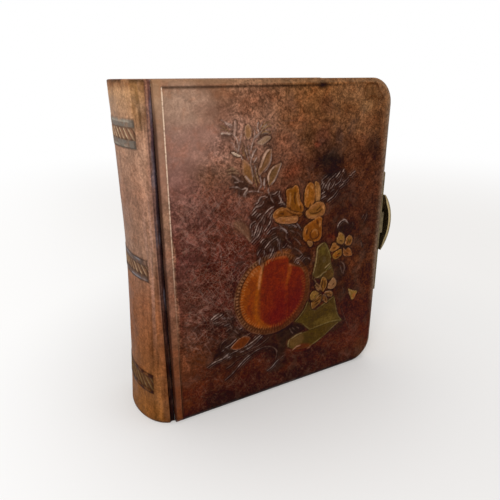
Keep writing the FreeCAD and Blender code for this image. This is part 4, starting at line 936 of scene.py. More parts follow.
def aged_hide(name, colours, roughness=(0.4, 0.62), crackle=0.3, bloom="#84695C", patchy=1.0):
    """Vegetable-tanned calf, dyed and glazed, dried out by age: mottled, finely cracked, with a low
    broken sheen. Its patina, paint, gilding and blacking come from the piece's own layers."""
    skin, tree, place = new_material(name)
    patina, paint, marks = (add_node(tree, "Attribute", {"attribute_name": layer})
                            for layer in ("patina", "paint", "marks"))
    gilt, ink, rub = add_node(tree, "SeparateColor", {0: marks["Color"]})
    shifted = add_node(tree, "Mapping", {"Location": (0.31, 0.17, 0.53), "Vector": place})[0]
    broad, blots, dabs, hue, specks = (
        add_node(tree, "TexNoise", {"Vector": where, "Scale": per(size), "Detail": detail,
                                    "Roughness": rough, "Distortion": bend})[0]
        for where, size, detail, rough, bend in (
            (place, 26, 5.0, 0.6, 0.5), (place, 9, 6.0, 0.62, 1.0), (shifted, 5, 4.0, 0.6, 1.6),
            (shifted, 15, 5.0, 0.6, 0.4), (shifted, 1.7, 3.0, 0.6, 0.0)))

    # Dye that took unevenly: the product of four patterns, as far as the patina allows.
    mottle = 1.0
    for pattern, low, high, depth in ((broad, 0.36, 0.64, 0.16), (blots, 0.44, 0.56, 0.2),
                                      (dabs, 0.44, 0.56, 0.26), (specks, 0.38, 0.62, 0.26)):
        swing = depth * patchy
        tone = add_node(tree, "MapRange", {**SMOOTH, 0: pattern, 1: low, 2: high,
                                           3: 1 - swing, 4: 1 + swing})[0]
        mottle = add_node(tree, "Math", {**TIMES, 0: mottle, 1: tone})[0]
    for step, other in ((LESS, 1.0), (TIMES, patina["Alpha"]), (PLUS, 1.0)):
        mottle = add_node(tree, "Math", {**step, 0: mottle, 1: other})[0]
    base = add_node(tree, "VectorMath", {"operation": "SCALE", 0: patina["Color"], "Scale": mottle})[0]
    red = add_node(tree, "MapRange", {**SMOOTH, 0: hue, 1: 0.5, 2: 0.66, 4: 0.5 * patchy})[0]
    base = add_node(tree, "Mix", {**OVER, "blend_type": "MULTIPLY", 0: red, 6: base,
                                  7: (1.08, 0.86, 0.74)})[2]
    dust = add_node(tree, "MapRange", {**SMOOTH, 0: hue, 1: 0.48, 2: 0.36, 4: 0.08 * patchy})[0]

    # The glaze has cracked into small cells where it dried out.
    drift = add_node(tree, "TexNoise", {"Vector": place, "Scale": per(6), "Detail": 4.0})["Color"]
    bent = add_node(tree, "VectorMath", {**TURNED, 0: drift, 1: (0.006, 0.006, 0.006), 2: place})[0]
    edge = add_node(tree, "TexVoronoi", {"feature": "DISTANCE_TO_EDGE", "Scale": per(3.0),
                                         "Vector": bent})[0]
    crack = add_node(tree, "MapRange", {**SMOOTH, 0: edge, 1: 0.09, 2: 0.0})[0]
    split = add_node(tree, "MapRange", {**SMOOTH, 0: hue, 1: 0.4, 2: 0.6})[0]
    for other in (split, marks["Alpha"]):
        crack = add_node(tree, "Math", {**TIMES, 0: crack, 1: other})[0]
    opened = add_node(tree, "Math", {**TIMES, 0: crack, 1: crackle})[0]
    base = layered(tree, base, (dust, linear(bloom)), (opened, linear("#98735F")))

    if crackle:
        broken = add_node(tree, "MapRange", {**SMOOTH, 0: blots, 1: 0.4, 2: 0.56})[0]
        for turn, drift in ((0.9, 0.0), (-0.5, 0.4), (2.1, 0.8)):
            pale = scratches(tree, place, turn, drift, 0.026)
            faint = add_node(tree, "Math", {**TIMES, 0: marks["Alpha"], 1: 0.2})[0]
            for other in (faint, broken):
                pale = add_node(tree, "Math", {**TIMES, 0: pale, 1: other})[0]
            base = layered(tree, base, (pale, linear("#AA8274")))
        for turn, drift in ((0.3, 1.3), (-1.1, 1.7)):
            deep = scratches(tree, place, turn, drift, 0.04)
            faint = add_node(tree, "Math", {**TIMES, 0: patina["Alpha"], 1: 0.16})[0]
            deep = add_node(tree, "Math", {**TIMES, 0: deep, 1: faint})[0]
            base = layered(tree, base, (deep, (0.013, 0.005, 0.003)))

    # Wear (with a painted reflection along a cover's fore edge), paint, blacking (with the painted
    # shadows beside the ornament's strokes) and gold leaf, each broken up by the hide's own pattern.
    worn, kept, black, gold = (
        add_node(tree, "Math", {**TIMES, 0: mark, 1: add_node(
            tree, "MapRange", {**SMOOTH, 0: pattern, 1: low, 2: high, 3: start, 4: stop})[0]})[0]
        for mark, pattern, low, high, start, stop in (
            (rub, dabs, 0.34, 0.6, 0.35, 1.0), (paint["Alpha"], dabs, 0.24, 0.42, 0.45, 1.0),
            (ink, dabs, 0.2, 0.5, 0.7, 1.0), (gilt, specks, 0.36, 0.5, 0.35, 1.0)))
    uneven = add_node(tree, "VectorMath", {"operation": "SCALE", 0: paint["Color"], "Scale": mottle})[0]
    painted = layered(tree, paint["Color"], (0.4, uneven))
    base = layered(tree, base, (worn, colours.rubbed), (kept, painted), (black, colours.ink),
                   (gold, colours.gilt_line))
    # The glaze has a faint shine of its own, so the dye under it is written a little deeper.
    base = add_node(tree, "VectorMath", {**TURNED, 0: base, 1: (1.0, 1.0, 1.0),
                                         2: (-0.005, -0.006, -0.006)})[0]
    base = add_node(tree, "VectorMath", {**MOST, 0: base, 1: (0.002, 0.001, 0.001)})[0]

    pores = add_node(tree, "TexVoronoi", {"feature": "SMOOTH_F1", "Scale": per(1.1), "Smoothness": 0.6,
                                          "Vector": place})[0]
    relief = add_node(tree, "Math", {**TIMES, 0: pores, 1: 0.55})[0]
    for step, pattern, depth in ((PLUS, specks, 0.5), (LESS, crack, 0.5), (PLUS, dabs, 0.9)):
        part = add_node(tree, "Math", {**TIMES, 0: pattern, 1: depth})[0]
        relief = add_node(tree, "Math", {**step, 0: relief, 1: part})[0]
    bump = add_node(tree, "Bump", {"Strength": 0.55, "Distance": 0.22 * MM, "Height": relief})[0]
    dull, duller = roughness
    gloss = add_node(tree, "MapRange", {**SMOOTH, 0: broad, 1: 0.38, 2: 0.62, 3: dull, 4: duller})[0]
    metal = add_node(tree, "Math", {**TIMES, 0: gold, 1: 0.25})[0]
    close_material(tree, {"IOR": 1.5, "Specular IOR Level": 0.045, "Base Color": base,
                          "Roughness": gloss, "Normal": bump, "Metallic": metal})
    return skin


def old_brass(name, colours, bright=0.5):
    """Stamped and turned brass under a dull brown skin, rubbed bright where hands reach it; on the hasp's
    rim the marks layer also holds a painted highlight.
    """
    skin, tree, place = new_material(name)
    cloudy = add_node(tree, "TexNoise", {"Vector": place, "Scale": per(6), "Detail": 6.0,
                                         "Roughness": 0.7})[0]
    fine = add_node(tree, "TexNoise", {"Vector": place, "Scale": per(0.7), "Detail": 3.0})[0]
    rubbed = add_node(tree, "Attribute", {"attribute_name": "marks"})["Fac"]
    share = add_node(tree, "MapRange", {**SMOOTH, 0: cloudy, 1: 0.28, 2: 0.76, 3: 0.05, 4: bright})[0]
    share = add_node(tree, "Math", {**PLUS, 0: share, 1: rubbed})[0]
    share = add_node(tree, "Math", {"operation": "MINIMUM", 0: share, 1: 1.0})[0]
    bump = add_node(tree, "Bump", {"Strength": 0.4, "Distance": 0.05 * MM, "Height": fine})[0]
    gloss = add_node(tree, "MapRange", {**SMOOTH, 0: cloudy, 1: 0.3, 2: 0.7, 3: 0.5, 4: 0.3})[0]
    close_material(tree, {"Metallic": 0.9, "Normal": bump, "Roughness": gloss,
                          "Base Color": layered(tree, colours.brass_dark, (share, colours.brass))})
    return skin


def sprung_steel(name):
    """Blued spring steel, brown with light rust."""
    skin, tree, place = new_material(name)
    rust = add_node(tree, "TexNoise", {"Vector": place, "Scale": per(2.5), "Detail": 6.0})[0]
    share = add_node(tree, "MapRange", {**SMOOTH, 0: rust, 1: 0.45, 2: 0.65})[0]
    gloss = add_node(tree, "MapRange", {**SMOOTH, 0: rust, 1: 0.4, 2: 0.7, 3: 0.35, 4: 0.7})[0]
    close_material(tree, {"Metallic": 0.85, "Roughness": gloss,
                          "Base Color": layered(tree, linear("#4A4A4E"), (share, linear("#5A4132")))})
    return skin


def foxed_card(name, tone, tooth=0.5):
    """Calendered pasteboard, cream turned warm, with brown fox marks and a faint paper tooth."""
    skin, tree, place = new_material(name)
    age = add_node(tree, "TexNoise", {"Vector": place, "Scale": per(60), "Detail": 5.0})[0]
    fox = add_node(tree, "TexNoise", {"Vector": place, "Scale": per(7), "Detail": 3.0,
                                      "Roughness": 0.5})[0]
    fibre = add_node(tree, "TexNoise", {"Vector": place, "Scale": per(0.6), "Detail": 4.0})[0]
    warm = add_node(tree, "MapRange", {**SMOOTH, 0: age, 1: 0.35, 2: 0.7, 4: 0.35})[0]
    spots = add_node(tree, "MapRange", {**SMOOTH, 0: fox, 1: 0.66, 2: 0.76, 4: 0.55})[0]
    base = layered(tree, tone, (warm, linear("#C9AE80")), (spots, linear("#B98F5E")))
    bump = add_node(tree, "Bump", {"Strength": tooth, "Distance": 0.06 * MM, "Height": fibre})[0]
    close_material(tree, {"IOR": 1.45, "Roughness": 0.7, "Base Color": base, "Normal": bump})
    return skin


def gilt_edge(name):
    """Leaf edges sized with bole, gilded and burnished; the gold is rubbed through to brown bole
    and cream card in streaks that follow the leaves."""
    skin, tree, place = new_material(name)
    along = add_node(tree, "Mapping", {"Scale": (0.15, 1.0, 0.15), "Vector": place})[0]
    streak = add_node(tree, "TexNoise", {"Vector": along, "Scale": per(1.6), "Detail": 5.0,
                                         "Roughness": 0.65})[0]
    cloudy = add_node(tree, "TexNoise", {"Vector": place, "Scale": per(20), "Detail": 4.0})[0]
    thin = add_node(tree, "MapRange", {**SMOOTH, 0: streak, 1: 0.48, 2: 0.66})[0]
    bared = add_node(tree, "MapRange", {**SMOOTH, 0: cloudy, 1: 0.35, 2: 0.65, 3: 0.35, 4: 1.0})[0]
    loss = add_node(tree, "Math", {**TIMES, 0: thin, 1: bared})[0]
    pale = add_node(tree, "MapRange", {**SMOOTH, 0: streak, 1: 0.3, 2: 0.6})[0]
    tone = layered(tree, linear("#A87E3C"), (pale, linear("#D2AC62")), (loss, linear("#7A5A38")))
    metal = add_node(tree, "MapRange", {**SMOOTH, 0: loss, 1: 0.0, 2: 0.5, 3: 0.85, 4: 0.1})[0]
    gloss = add_node(tree, "MapRange", {**SMOOTH, 0: loss, 1: 0.0, 2: 0.6, 3: 0.34, 4: 0.65})[0]
    close_material(tree, {"Base Color": tone, "Metallic": metal, "Roughness": gloss})
    return skin


def watered_paper(name, tone, line):
    """Endpaper printed with a watered-silk figure under a thin glaze."""
    skin, tree, place = new_material(name)
    drift = add_node(tree, "TexNoise", {"Vector": place, "Scale": per(38), "Detail": 3.0})["Color"]
    bent = add_node(tree, "VectorMath", {**TURNED, 0: drift, 1: (0.03, 0.03, 0.03), 2: place})[0]
    wave = add_node(tree, "TexWave", {"bands_direction": "Z", "Scale": per(3.2) / 20, "Distortion": 2.0,
                                      "Detail": 3.0, "Detail Scale": per(20) / 20, "Vector": bent})[0]
    age = add_node(tree, "TexNoise", {"Vector": place, "Scale": per(50), "Detail": 5.0})[0]
    silk = add_node(tree, "MapRange", {**SMOOTH, 0: wave, 1: 0.3, 2: 0.8, 4: 0.5})[0]
    brown = add_node(tree, "MapRange", {**SMOOTH, 0: age, 1: 0.4, 2: 0.7, 4: 0.3})[0]
    base = layered(tree, tone, (silk, line), (brown, linear("#B49A70")))
    close_material(tree, {"IOR": 1.45, "Roughness": 0.42, "Base Color": base})
    return skin


def rough_stock(name, dark, light, size, stretch=(1, 1, 1)):
    """Mill-made grey-brown board or open cotton, by the size and run of its fibres."""
    skin, tree, place = new_material(name)
    run = add_node(tree, "Mapping", {"Scale": stretch, "Vector": place})[0]
    fibre = add_node(tree, "TexNoise", {"Vector": run, "Scale": per(size), "Detail": 6.0,
                                        "Roughness": 0.7})[0]
    share = add_node(tree, "MapRange", {**SMOOTH, 0: fibre, 1: 0.35, 2: 0.65})[0]
    base = layered(tree, linear(dark), (share, linear(light)))
    bump = add_node(tree, "Bump", {"Strength": 0.6, "Distance": 0.15 * MM, "Height": fibre})[0]
    close_material(tree, {"Roughness": 0.85, "Base Color": base, "Normal": bump})
    return skin


def coat(node, skin):
    """Gives a CAD node its finish."""
    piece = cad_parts[node]
    piece.data.materials.clear()
    piece.data.materials.append(skin)


# ---------------------------------------------------------------- covers

FADE_SHEEN_AND_SHADE = [
    # height above the tail, and the hide's colour there outside the gilt line, just inside it,
    # further in, and towards the fore edge. The colours are partly the hide's own fading and partly
    # painted light: painted sheen lightens the upper part near the joint, and painted shade darkens
    # the part towards the tail.
    (0, "#5A331C", "#3A1A0C", "#200B05", "#2C120A"), (8, "#6A3A22", "#401C0F", "#2A100A", "#38190E"),
    (25, "#6C3C26", "#522515", "#3C1B0D", "#461E0F"), (55, "#74462E", "#613824", "#371A0F", "#3C1A10"),
    (85, "#78503C", "#553024", "#401F18", "#402012"), (115, "#7A5240", "#59342A", "#4A231A", "#4A2918"),
    (145, "#84604E", "#56302A", "#4F261C", "#3A1E13"), (175, "#8E6A54", "#70483E", "#5E352A", "#4B2A1B"),
    (205, "#966F5C", "#825D53", "#73503F", "#4A2A1A"), (235, "#94725E", "#967365", "#8C6757", "#65422A"),
    (258, "#A88468", "#A2826C", "#86604B", "#6E4729"), (270, "#967256", "#94705A", "#86624A", "#704A2C"),
]
STAINS_AND_SHEEN = [
    # x, z, half width, half height, colour, strength. The first and the third, broad light patches
    # at the upper left, are painted sheen; the rest are darker and lighter patches of the hide.
    (24, 252, 26, 20, "#A88874", 0.7), (34, 250, 10, 8, "#7F5A4A", 0.5),
    (32, 226, 26, 22, "#987264", 0.7), (50, 224, 9, 8, "#785243", 0.6), (46, 247, 14, 10, "#6E4A3A", 0.6),
    (74, 255, 22, 13, "#6E4A37", 0.75), (92, 262, 10, 7, "#6C4832", 0.6),
    (76, 238, 12, 10, "#74513E", 0.6), (104, 250, 12, 8, "#653F2C", 0.5), (22, 210, 9, 8, "#785449", 0.5),
    (22, 196, 14, 12, "#6C463D", 0.6), (44, 198, 13, 9, "#7A5442", 0.6), (11, 172, 6, 10, "#86594F", 0.7),
    (44, 188, 18, 14, "#5E3329", 0.45), (32, 172, 12, 14, "#4C2A24", 0.5),
    (60, 163, 8, 10, "#6B4534", 0.6), (100, 216, 22, 22, "#6E4432", 0.55),
    (101, 224, 9, 9, "#764934", 0.6), (114, 237, 11, 10, "#77492F", 0.6),
    (114, 210, 9, 9, "#502D1F", 0.6), (108, 200, 12, 9, "#5A2C1C", 0.5),
    (140, 250, 11, 9, "#5E3A25", 0.7), (166, 258, 26, 9, "#7A563A", 0.5),
    (135, 265, 6, 3.5, "#150D08", 0.8), (140, 234, 8, 7, "#573422", 0.6),
    (137, 226, 12, 9, "#5E3426", 0.6), (132, 220, 5, 4, "#6E2E1C", 0.6),
    (140, 214, 18, 13, "#33201A", 0.6), (147, 206, 18, 12, "#1A1411", 0.85),
    (128, 204, 10, 8, "#2C1712", 0.6), (147, 197, 13, 8, "#2B1A15", 0.7),
    (153, 226, 6, 11, "#33221E", 0.6), (166, 222, 9, 10, "#4F2F1F", 0.6),
    (176, 234, 12, 12, "#7A5235", 0.55), (179, 221, 9, 8, "#56311E", 0.6),
    (192, 215, 11, 16, "#25150F", 0.75), (180, 207, 10, 10, "#371E14", 0.7),
    (168, 208, 8, 9, "#44281B", 0.6), (193, 236, 8, 12, "#5A361E", 0.6),
    (192, 262, 10, 8, "#6E482B", 0.6), (180, 248, 9, 8, "#84603F", 0.5),
    (166, 176, 20, 20, "#30160D", 0.7), (184, 180, 14, 14, "#4E2817", 0.5),
    (101, 158, 10, 6, "#46281B", 0.5), (150, 160, 16, 12, "#32170F", 0.6),
    (182, 158, 11, 9, "#5A3020", 0.4), (168, 144, 22, 10, "#30160D", 0.55),
    (150, 138, 8, 6, "#571F10", 0.5), (127, 132, 9, 8, "#3A1D12", 0.5), (193, 126, 9, 16, "#331910", 0.7),
    (180, 118, 9, 8, "#371B0E", 0.6), (181, 105, 8, 7, "#573020", 0.4), (178, 90, 18, 24, "#34190E", 0.4),
    (165, 104, 9, 14, "#331710", 0.6), (194, 98, 9, 20, "#351A10", 0.6),
    (27, 100, 14, 34, "#402018", 0.35), (44, 140, 18, 16, "#4A201A", 0.45),
    (62, 142, 10, 16, "#421F18", 0.4), (49, 146, 9, 9, "#4C2219", 0.6), (60, 122, 14, 20, "#3C1814", 0.5),
    (44, 104, 18, 16, "#4A2620", 0.4), (20, 100, 12, 12, "#4A2B24", 0.5),
    (30, 68, 16, 16, "#4E2A1C", 0.4), (23, 54, 9, 8, "#44210F", 0.6), (49, 54, 11, 8, "#2A1510", 0.6),
    (62, 68, 9, 7, "#361A11", 0.4), (23, 41, 11, 9, "#38180D", 0.7), (62, 43, 18, 8, "#2E140C", 0.6),
    (94, 40, 17, 11, "#190A07", 0.75), (113, 55, 9, 8, "#26160D", 0.7), (36, 30, 14, 8, "#4E2414", 0.5),
    (70, 22, 22, 10, "#2A0E08", 0.5), (10, 16, 5, 9, "#522813", 0.6), (40, 12, 18, 8, "#220B06", 0.7),
    (98, 26, 15, 10, "#1E0B06", 0.75), (130, 27, 30, 10, "#200C07", 0.65),
    (124, 12, 34, 10, "#1C0804", 0.7), (164, 12, 16, 8, "#2A0E08", 0.6), (150, 24, 11, 9, "#200B06", 0.6),
    (166, 42, 11, 8, "#2C130C", 0.5), (178, 62, 15, 16, "#331510", 0.6),
    (184, 30, 12, 13, "#4E2418", 0.55), (194, 18, 9, 9, "#5A3420", 0.45),
    (100, 178, 12, 10, "#46231A", 0.5), (150, 184, 14, 9, "#34180F", 0.4),
]
TIDE_LINE = (
    176.6, 257, 177.4, 262, 179.4, 265, 184.4, 265.6, 190, 264.4, 192.6, 260, 197.4, 254.6, 193.4, 253.4,
    188.4, 255.4, 184.6, 255.6, 181, 253.2, 177.6, 256,
)


def colour_by_height(z, stops, column=1):
    """The colour at each height, in linear light."""
    shades = np.array([linear(stop[column]) for stop in stops])
    return np.stack([np.interp(z, [stop[0] for stop in stops], shades[:, k]) for k in range(3)], 1)


def patina(x, z, patches):
    """The hide's colour over a cover, in linear light, with painted sheen near the head and painted shade
    towards the tail.
    """
    tone = colour_by_height(z, FADE_SHEEN_AND_SHADE, 4)
    for column, inner, outer in ((3, 45, 130), (2, 16, 34), (1, 4.9, 5.7)):
        wander = 0.7 * (outer - inner) * (cloud(x, z, 26, 50 + column) - 0.5)
        if column == 1:
            wander = -2.6 * ramp(z, 52, 80) * ramp(z, 168, 150) * (0.4 + 1.2 * cloud(x, z, 14, 9))
        dye(tone, ramp(x + wander, outer, inner), colour_by_height(z, FADE_SHEEN_AND_SHADE, column))
    for cx, cz, rx, rz, code, strength in patches:
        ragged = 0.68 + 0.64 * cloud(x, z, 9.0, int(cx + cz) % 40, 4)
        gap = np.hypot((x - cx) / rx, (z - cz) / rz) * ragged
        dye(tone, strength * (1 - ramp(gap, 0.35, 1.05)), code)
    brink = x - 20 - 0.5 * (z - 190) + 18 * (cloud(x, z, 20, 61) - 0.5)
    even = 1 - 0.65 * ramp(brink, 14, -10) * ramp(z, 180, 205)
    even *= 1 - 0.4 * ramp(x, 6.6, 5.4)
    even *= 1 - 0.3 * ramp(z, 70, 40)
    return np.hstack([tone, even[:, None]])


# The stretch of a cover that carries the ornament, across and up, where the grid is finest.
FIELD_ACROSS = (24, 196)
FIELD_UP = (20, 246)


def cover_columns(sizes, step, wide):
    """Places of the grid's lines across a cover, close together at the gilt line and in the field."""
    line = sizes.gilt_line_inset
    half = sizes.gilt_line_width / 2
    face = WIDTH - sizes.bevel_width
    stops = [0, 2, line - half - 1.2, line + half + 1.2, *FIELD_ACROSS, WIDTH - 7.5, face]
    return spaced(stops, [0.7, wide, 0.4, wide * 0.6, step, wide * 0.6, 1.2])


def cover_shell(sizes, step, wide):
    """The hide of a cover as a closed shell around its board, face outwards along the third axis."""
    bevel, top = sizes.bevel_width, HEIGHT - sizes.bevel_width
    face = WIDTH - bevel
    radius = sizes.corner_radius - bevel
    columns = cover_columns(sizes, step, wide)
    rows = spaced([bevel, bevel + 3, *FIELD_UP, top - 3, top], [0.8, wide, step, wide * 0.6, 0.8])
    bm = grid(columns, rows)
    count = len(bm.verts)
    centre = face - radius

    for vert in bm.verts:
        dx = vert.co.x - centre
        dz = max(bevel + radius - vert.co.y, vert.co.y - (top - radius))
        if dx > 0 and dz > 0:
            share = max(dx, dz) / math.hypot(dx, dz)
            side = 1 if vert.co.y > HEIGHT / 2 else -1
            pivot = top - radius if side > 0 else bevel + radius
            vert.co = (centre + dx * share, pivot + side * dz * share, 0)

    seat = bm.verts.layers.float_vector.new("seat")
    rim = [e for e in bm.edges if e.is_boundary]
    for vert in {v for e in rim for v in e.verts}:
        vert[seat] = vert.co

    def ring(out, back, joint):
        """A step of the rim: out beyond the face's edge, back from it, joint in from the joint edge."""
        def move(vert):
            x, z, _ = vert[seat]
            if x < 0.001:
                low, high = bevel - out, top + out
                return Vector((joint, low + (z - bevel) / (top - bevel) * (high - low), -back))
            side = 1 if z > HEIGHT / 2 else -1
            pivot = top - radius if side > 0 else bevel + radius
            if x > centre and (z > top - radius or z < bevel + radius):
                arm = Vector((x - centre, z - pivot))
                arm *= (radius + out) / arm.length
                return Vector((centre + arm.x, pivot + arm.y, -back))
            if x > centre:
                return Vector((face + out, z, -back))
            return Vector((joint + x / centre * (centre - joint), z + side * out, -back))
        return move

    thick, fold = sizes.cover_thickness, bevel - sizes.turn_in
    skin = HIDE / MM
    board = thick - skin
    steps = [(0.4, 0.06, 0), (0.9, 0.34, 0), (1.6, 0.78, 0), (2.4, 1.2, 0), (3.2, 1.62, 0), (3.75, 2.0, 0),
             (bevel, 2.6, 0), (bevel, 3.8, 0), (bevel, thick - 1.4, 0), (bevel - 0.25, thick - 0.4, 0.25),
             (bevel - 0.9, thick, 0.9), (fold + 1, thick, sizes.turn_in - 1),
             (fold, thick - 0.3, sizes.turn_in), (fold, board, sizes.turn_in),
             (bevel - skin, board, skin), (bevel - skin, 3.1, skin), (-skin, skin, skin)]
    for out, back, joint in steps:
        rim = extrude_rim(bm, rim, ring(out, back, joint))
    bmesh.ops.holes_fill(bm, edges=rim, sides=0)
    return bm, count


def dress_cover(piece, sizes, count, stamped):
    """Gives a cover its relief and layers. The first count vertices are its face."""
    mesh = piece.data
    places = places_of(mesh)
    x, z = places[:, 0], places[:, 2]
    stamp = Stamp(x[:count], z[:count], sizes.relief)
    fx, fz = stamp.x, stamp.z
    if stamped:
        strike_ornament(stamp)
    half = sizes.gilt_line_width / 2
    gap = np.abs(fx - sizes.gilt_line_inset)
    ends = ramp(np.minimum(fz, HEIGHT - fz), sizes.gilt_line_stop, sizes.gilt_line_stop + 1)
    groove = (1 - ramp(gap, half * 0.6, half + 0.5)) * ends
    stamp.height -= sizes.gilt_line_depth * groove
    wear = ramp(fz, 70, 240) * (0.72 + 0.28 * cloud(fx, fz, 16, 3)) if stamped else 0.3
    core = (1 - ramp(gap, half * 0.55, half * 1.1)) * ends
    stamp.gilt = np.maximum(stamp.gilt, core * wear)
    flank = (1 - ramp(np.abs(fx - sizes.gilt_line_inset - half - 0.5), 0.1, 0.7)) * ends
    stamp.ink = np.maximum(stamp.ink, flank * (0.35 - 0.2 * ramp(fz, 60, 200)))
    stamp.ink = np.maximum(stamp.ink, core * (0.8 - 0.8 * ramp(fz, 30, 110)))
    edge_top = HEIGHT - sizes.bevel_width - fz
    brow = (1 - ramp(np.abs(edge_top - 1.2), 0.5, 1.4)) * ramp(fx, 4.5, 6)
    stamp.ink = np.maximum(stamp.ink, 0.7 * brow * ramp(190 - fx, 0, 60))
    stamp.height -= 0.12 * brow
    plain = ramp(np.minimum(np.minimum(fx - 12, 200 - fx), np.minimum(fz - 8, 262 - fz)), 0, 8)
    stamp.height += plain * 0.22 * (cloud(fx, fz, 34, 90) - 0.5)
    stamp.height = np.minimum(stamp.height, sizes.relief if stamped else 0)
    places[:count, 1] += -stamp.height if stamped else stamp.height
    write_places(mesh, places)

    tone = patina(x, z, STAINS_AND_SHEEN if stamped else STAINS_AND_SHEEN[::3])
    # A painted reflection along the fore edge, painted shadow along the tail edge, and painted shade on the
    # dark wall of the joint.
    dye(tone, 0.45 * ramp(x, WIDTH - 7, WIDTH - 3) * ramp(z, 40, 90) * ramp(z, 264, 240), "#7E6E5E")
    dye(tone, 0.8 * ramp(z, 7, 1.5) * ramp(x, 3, 9), "#0C0403")
    dye(tone, 0.7 * ramp(x, 0.9, 0.3) * ramp(z, 262, 236), "#2E1C1A")
    write_layer(mesh, "patina", tone)
    write_layer(mesh, "paint", stamp.paint)
    outer = places[:, 1] if stamped else DEPTH - places[:, 1]
    slope = ramp(outer, 0.02, 0.5) * (1 - ramp(outer, 3.0, 6.0))
    rub = slope * (0.25 + 0.3 * cloud(x, z, 12, 44)) * ramp(z, 2, 10)
    # Near the fore edge the rubbed colour also stands for a painted reflection, stronger towards the head.
    fore = ramp(x, WIDTH - 10, WIDTH - 4.5) * ramp(outer, 3.2, 2.0) * ramp(z, 40, 90)
    rub = np.maximum(rub, fore * (0.14 + 0.2 * ramp(z, 140, 240)))
    marks = np.zeros((len(x), 4))
    marks[:count, 0], marks[:count, 1] = stamp.gilt, stamp.ink
    corner = ramp(np.hypot(x - WIDTH, np.minimum(z, HEIGHT - z)), 26, 6)
    marks[:, 2] = np.clip(rub * ramp(x, 0.3, 1.6) + 0.3 * corner * (outer < 3), 0, 1)
    dry = ramp(x, 86, 60) * ramp(z, 45, 75) * ramp(z, 215, 180)
    marks[:, 3] = ramp(x, 9, 14) * np.maximum(dry, 0.28 * ramp(z, 66, 44) * ramp(x, 196, 180))
    write_layer(mesh, "marks", marks)


class ALBUM_OT_covers(bpy.types.Operator):
    """Make the two cover hides, the front one with its embossed and painted bouquet"""
    bl_idname = "album.covers"
    bl_label = "Cover hides"

    def execute(self, context):
        sizes, colours = in_mm(context.scene.album_sizes), context.scene.album_colours
        calf = aged_hide("glazed_calf_cover", colours)
        bm, count = cover_shell(sizes, sizes.stamp_step, sizes.plain_step)
        front = to_object(bm, "front_cover_hide", FRONT, calf)
        dress_cover(front, sizes, count, True)
        install(front, "front_cover", "cover_hide", "front_cover_leather")
        bm, count = cover_shell(sizes, sizes.plain_step, sizes.plain_step * 2)
        back = to_object(bm, "back_cover_hide", BACK, calf)
        dress_cover(back, sizes, count, False)
        install(back, "back_cover", "cover_hide", "back_cover_leather")
        return {"FINISHED"}


# ---------------------------------------------------------------- spine and joints

BULGES = [
    # share of the height, how far the spine stands out there in millimetres
    (0.0, 23.8), (0.15, 20.6), (0.5, 15.5), (0.78, 16.0), (1.0, 17.5),
]
# Colours by the height above the tail in millimetres: the spine, lighter towards the head partly as
# painted light, the worn half of a joint towards the spine, and its dark half towards the cover.
SPINE_FADE_AND_LIGHT = [
    (0, "#7E5026"), (30, "#80522E"), (70, "#7E4E2F"), (110, "#84563C"), (150, "#93705C"),
    (190, "#96705C"), (235, "#AA856E"), (262, "#B48C69"), (270, "#8A5E40"),
]
JOINT_WORN = [
    (0, "#23110A"), (40, "#2A1610"), (62, "#3A241C"), (95, "#52362C"), (125, "#644840"), (157, "#6E5048"),
    (190, "#88665C"), (222, "#A07A6A"), (254, "#BE8E78"), (270, "#A07058"),
]
JOINT_FADE = [
    (0, "#23110A"), (40, "#220F08"), (90, "#261410"), (140, "#30201E"), (180, "#2E2224"),
    (205, "#383036"), (222, "#4C3C40"), (240, "#60464A"), (270, "#6E4A40"),
]
# How far the spine stands out on average, for lengths along its curve.
SPINE_ROUND = 17.0
BULGE_LINE = curve([(z * HEIGHT, out) for z, out in BULGES], False, 24)
BAND_LOOKS = [
    # from the tail: fillet, its bright line, ground, light and dark strokes, width of the fillets
    ("#2A130C", "#2A130C", "#543A26", "#7E6844", "#38241A", 3.6),
    ("#5A4C46", "#8A8A90", "#6E503C", "#B49878", "#35241C", 5.0),
    ("#77726A", "#A8A294", "#8A6650", "#CDB490", "#4A3024", 6.0),
]


def spine_reach(z):
    return np.interp(z, BULGE_LINE[:, 0], BULGE_LINE[:, 1])


def spine_section(sizes):
    """Section of the spine hide as a closed run of (depth into the hide, height)."""
    thick, fold, skin = sizes.spine_thickness, sizes.spine_turn_in, sizes.spine_hide
    card, end = thick - skin, HEIGHT
    lip = [(thick, 0.9), (thick - 0.5, 0.25), (thick / 2, 0.0), (0.5, 0.25), (0.0, 0.9)]
    stops = [1.0]
    steps = []
    for middle in (sizes.band_inset, HEIGHT / 2, HEIGHT - sizes.band_inset):
        stops += [middle - sizes.band_height / 2 - 1, middle + sizes.band_height / 2 + 1]
        steps += [2.0, 0.8]
    stops.append(end - 1.0)
    steps.append(2.0)
    outer = [(0.0, z) for z in spaced(stops, steps)[1:-1]]
    inner = [(skin, z) for z in reversed(spaced([skin, end - skin], [8.0]))]
    head = [(s, end - z) for s, z in reversed(lip)]
    return ([(thick, fold)] + lip + outer + head
            + [(thick, end - fold), (card, end - fold), (card, end - skin)] + inner
            + [(card, skin), (card, fold)])


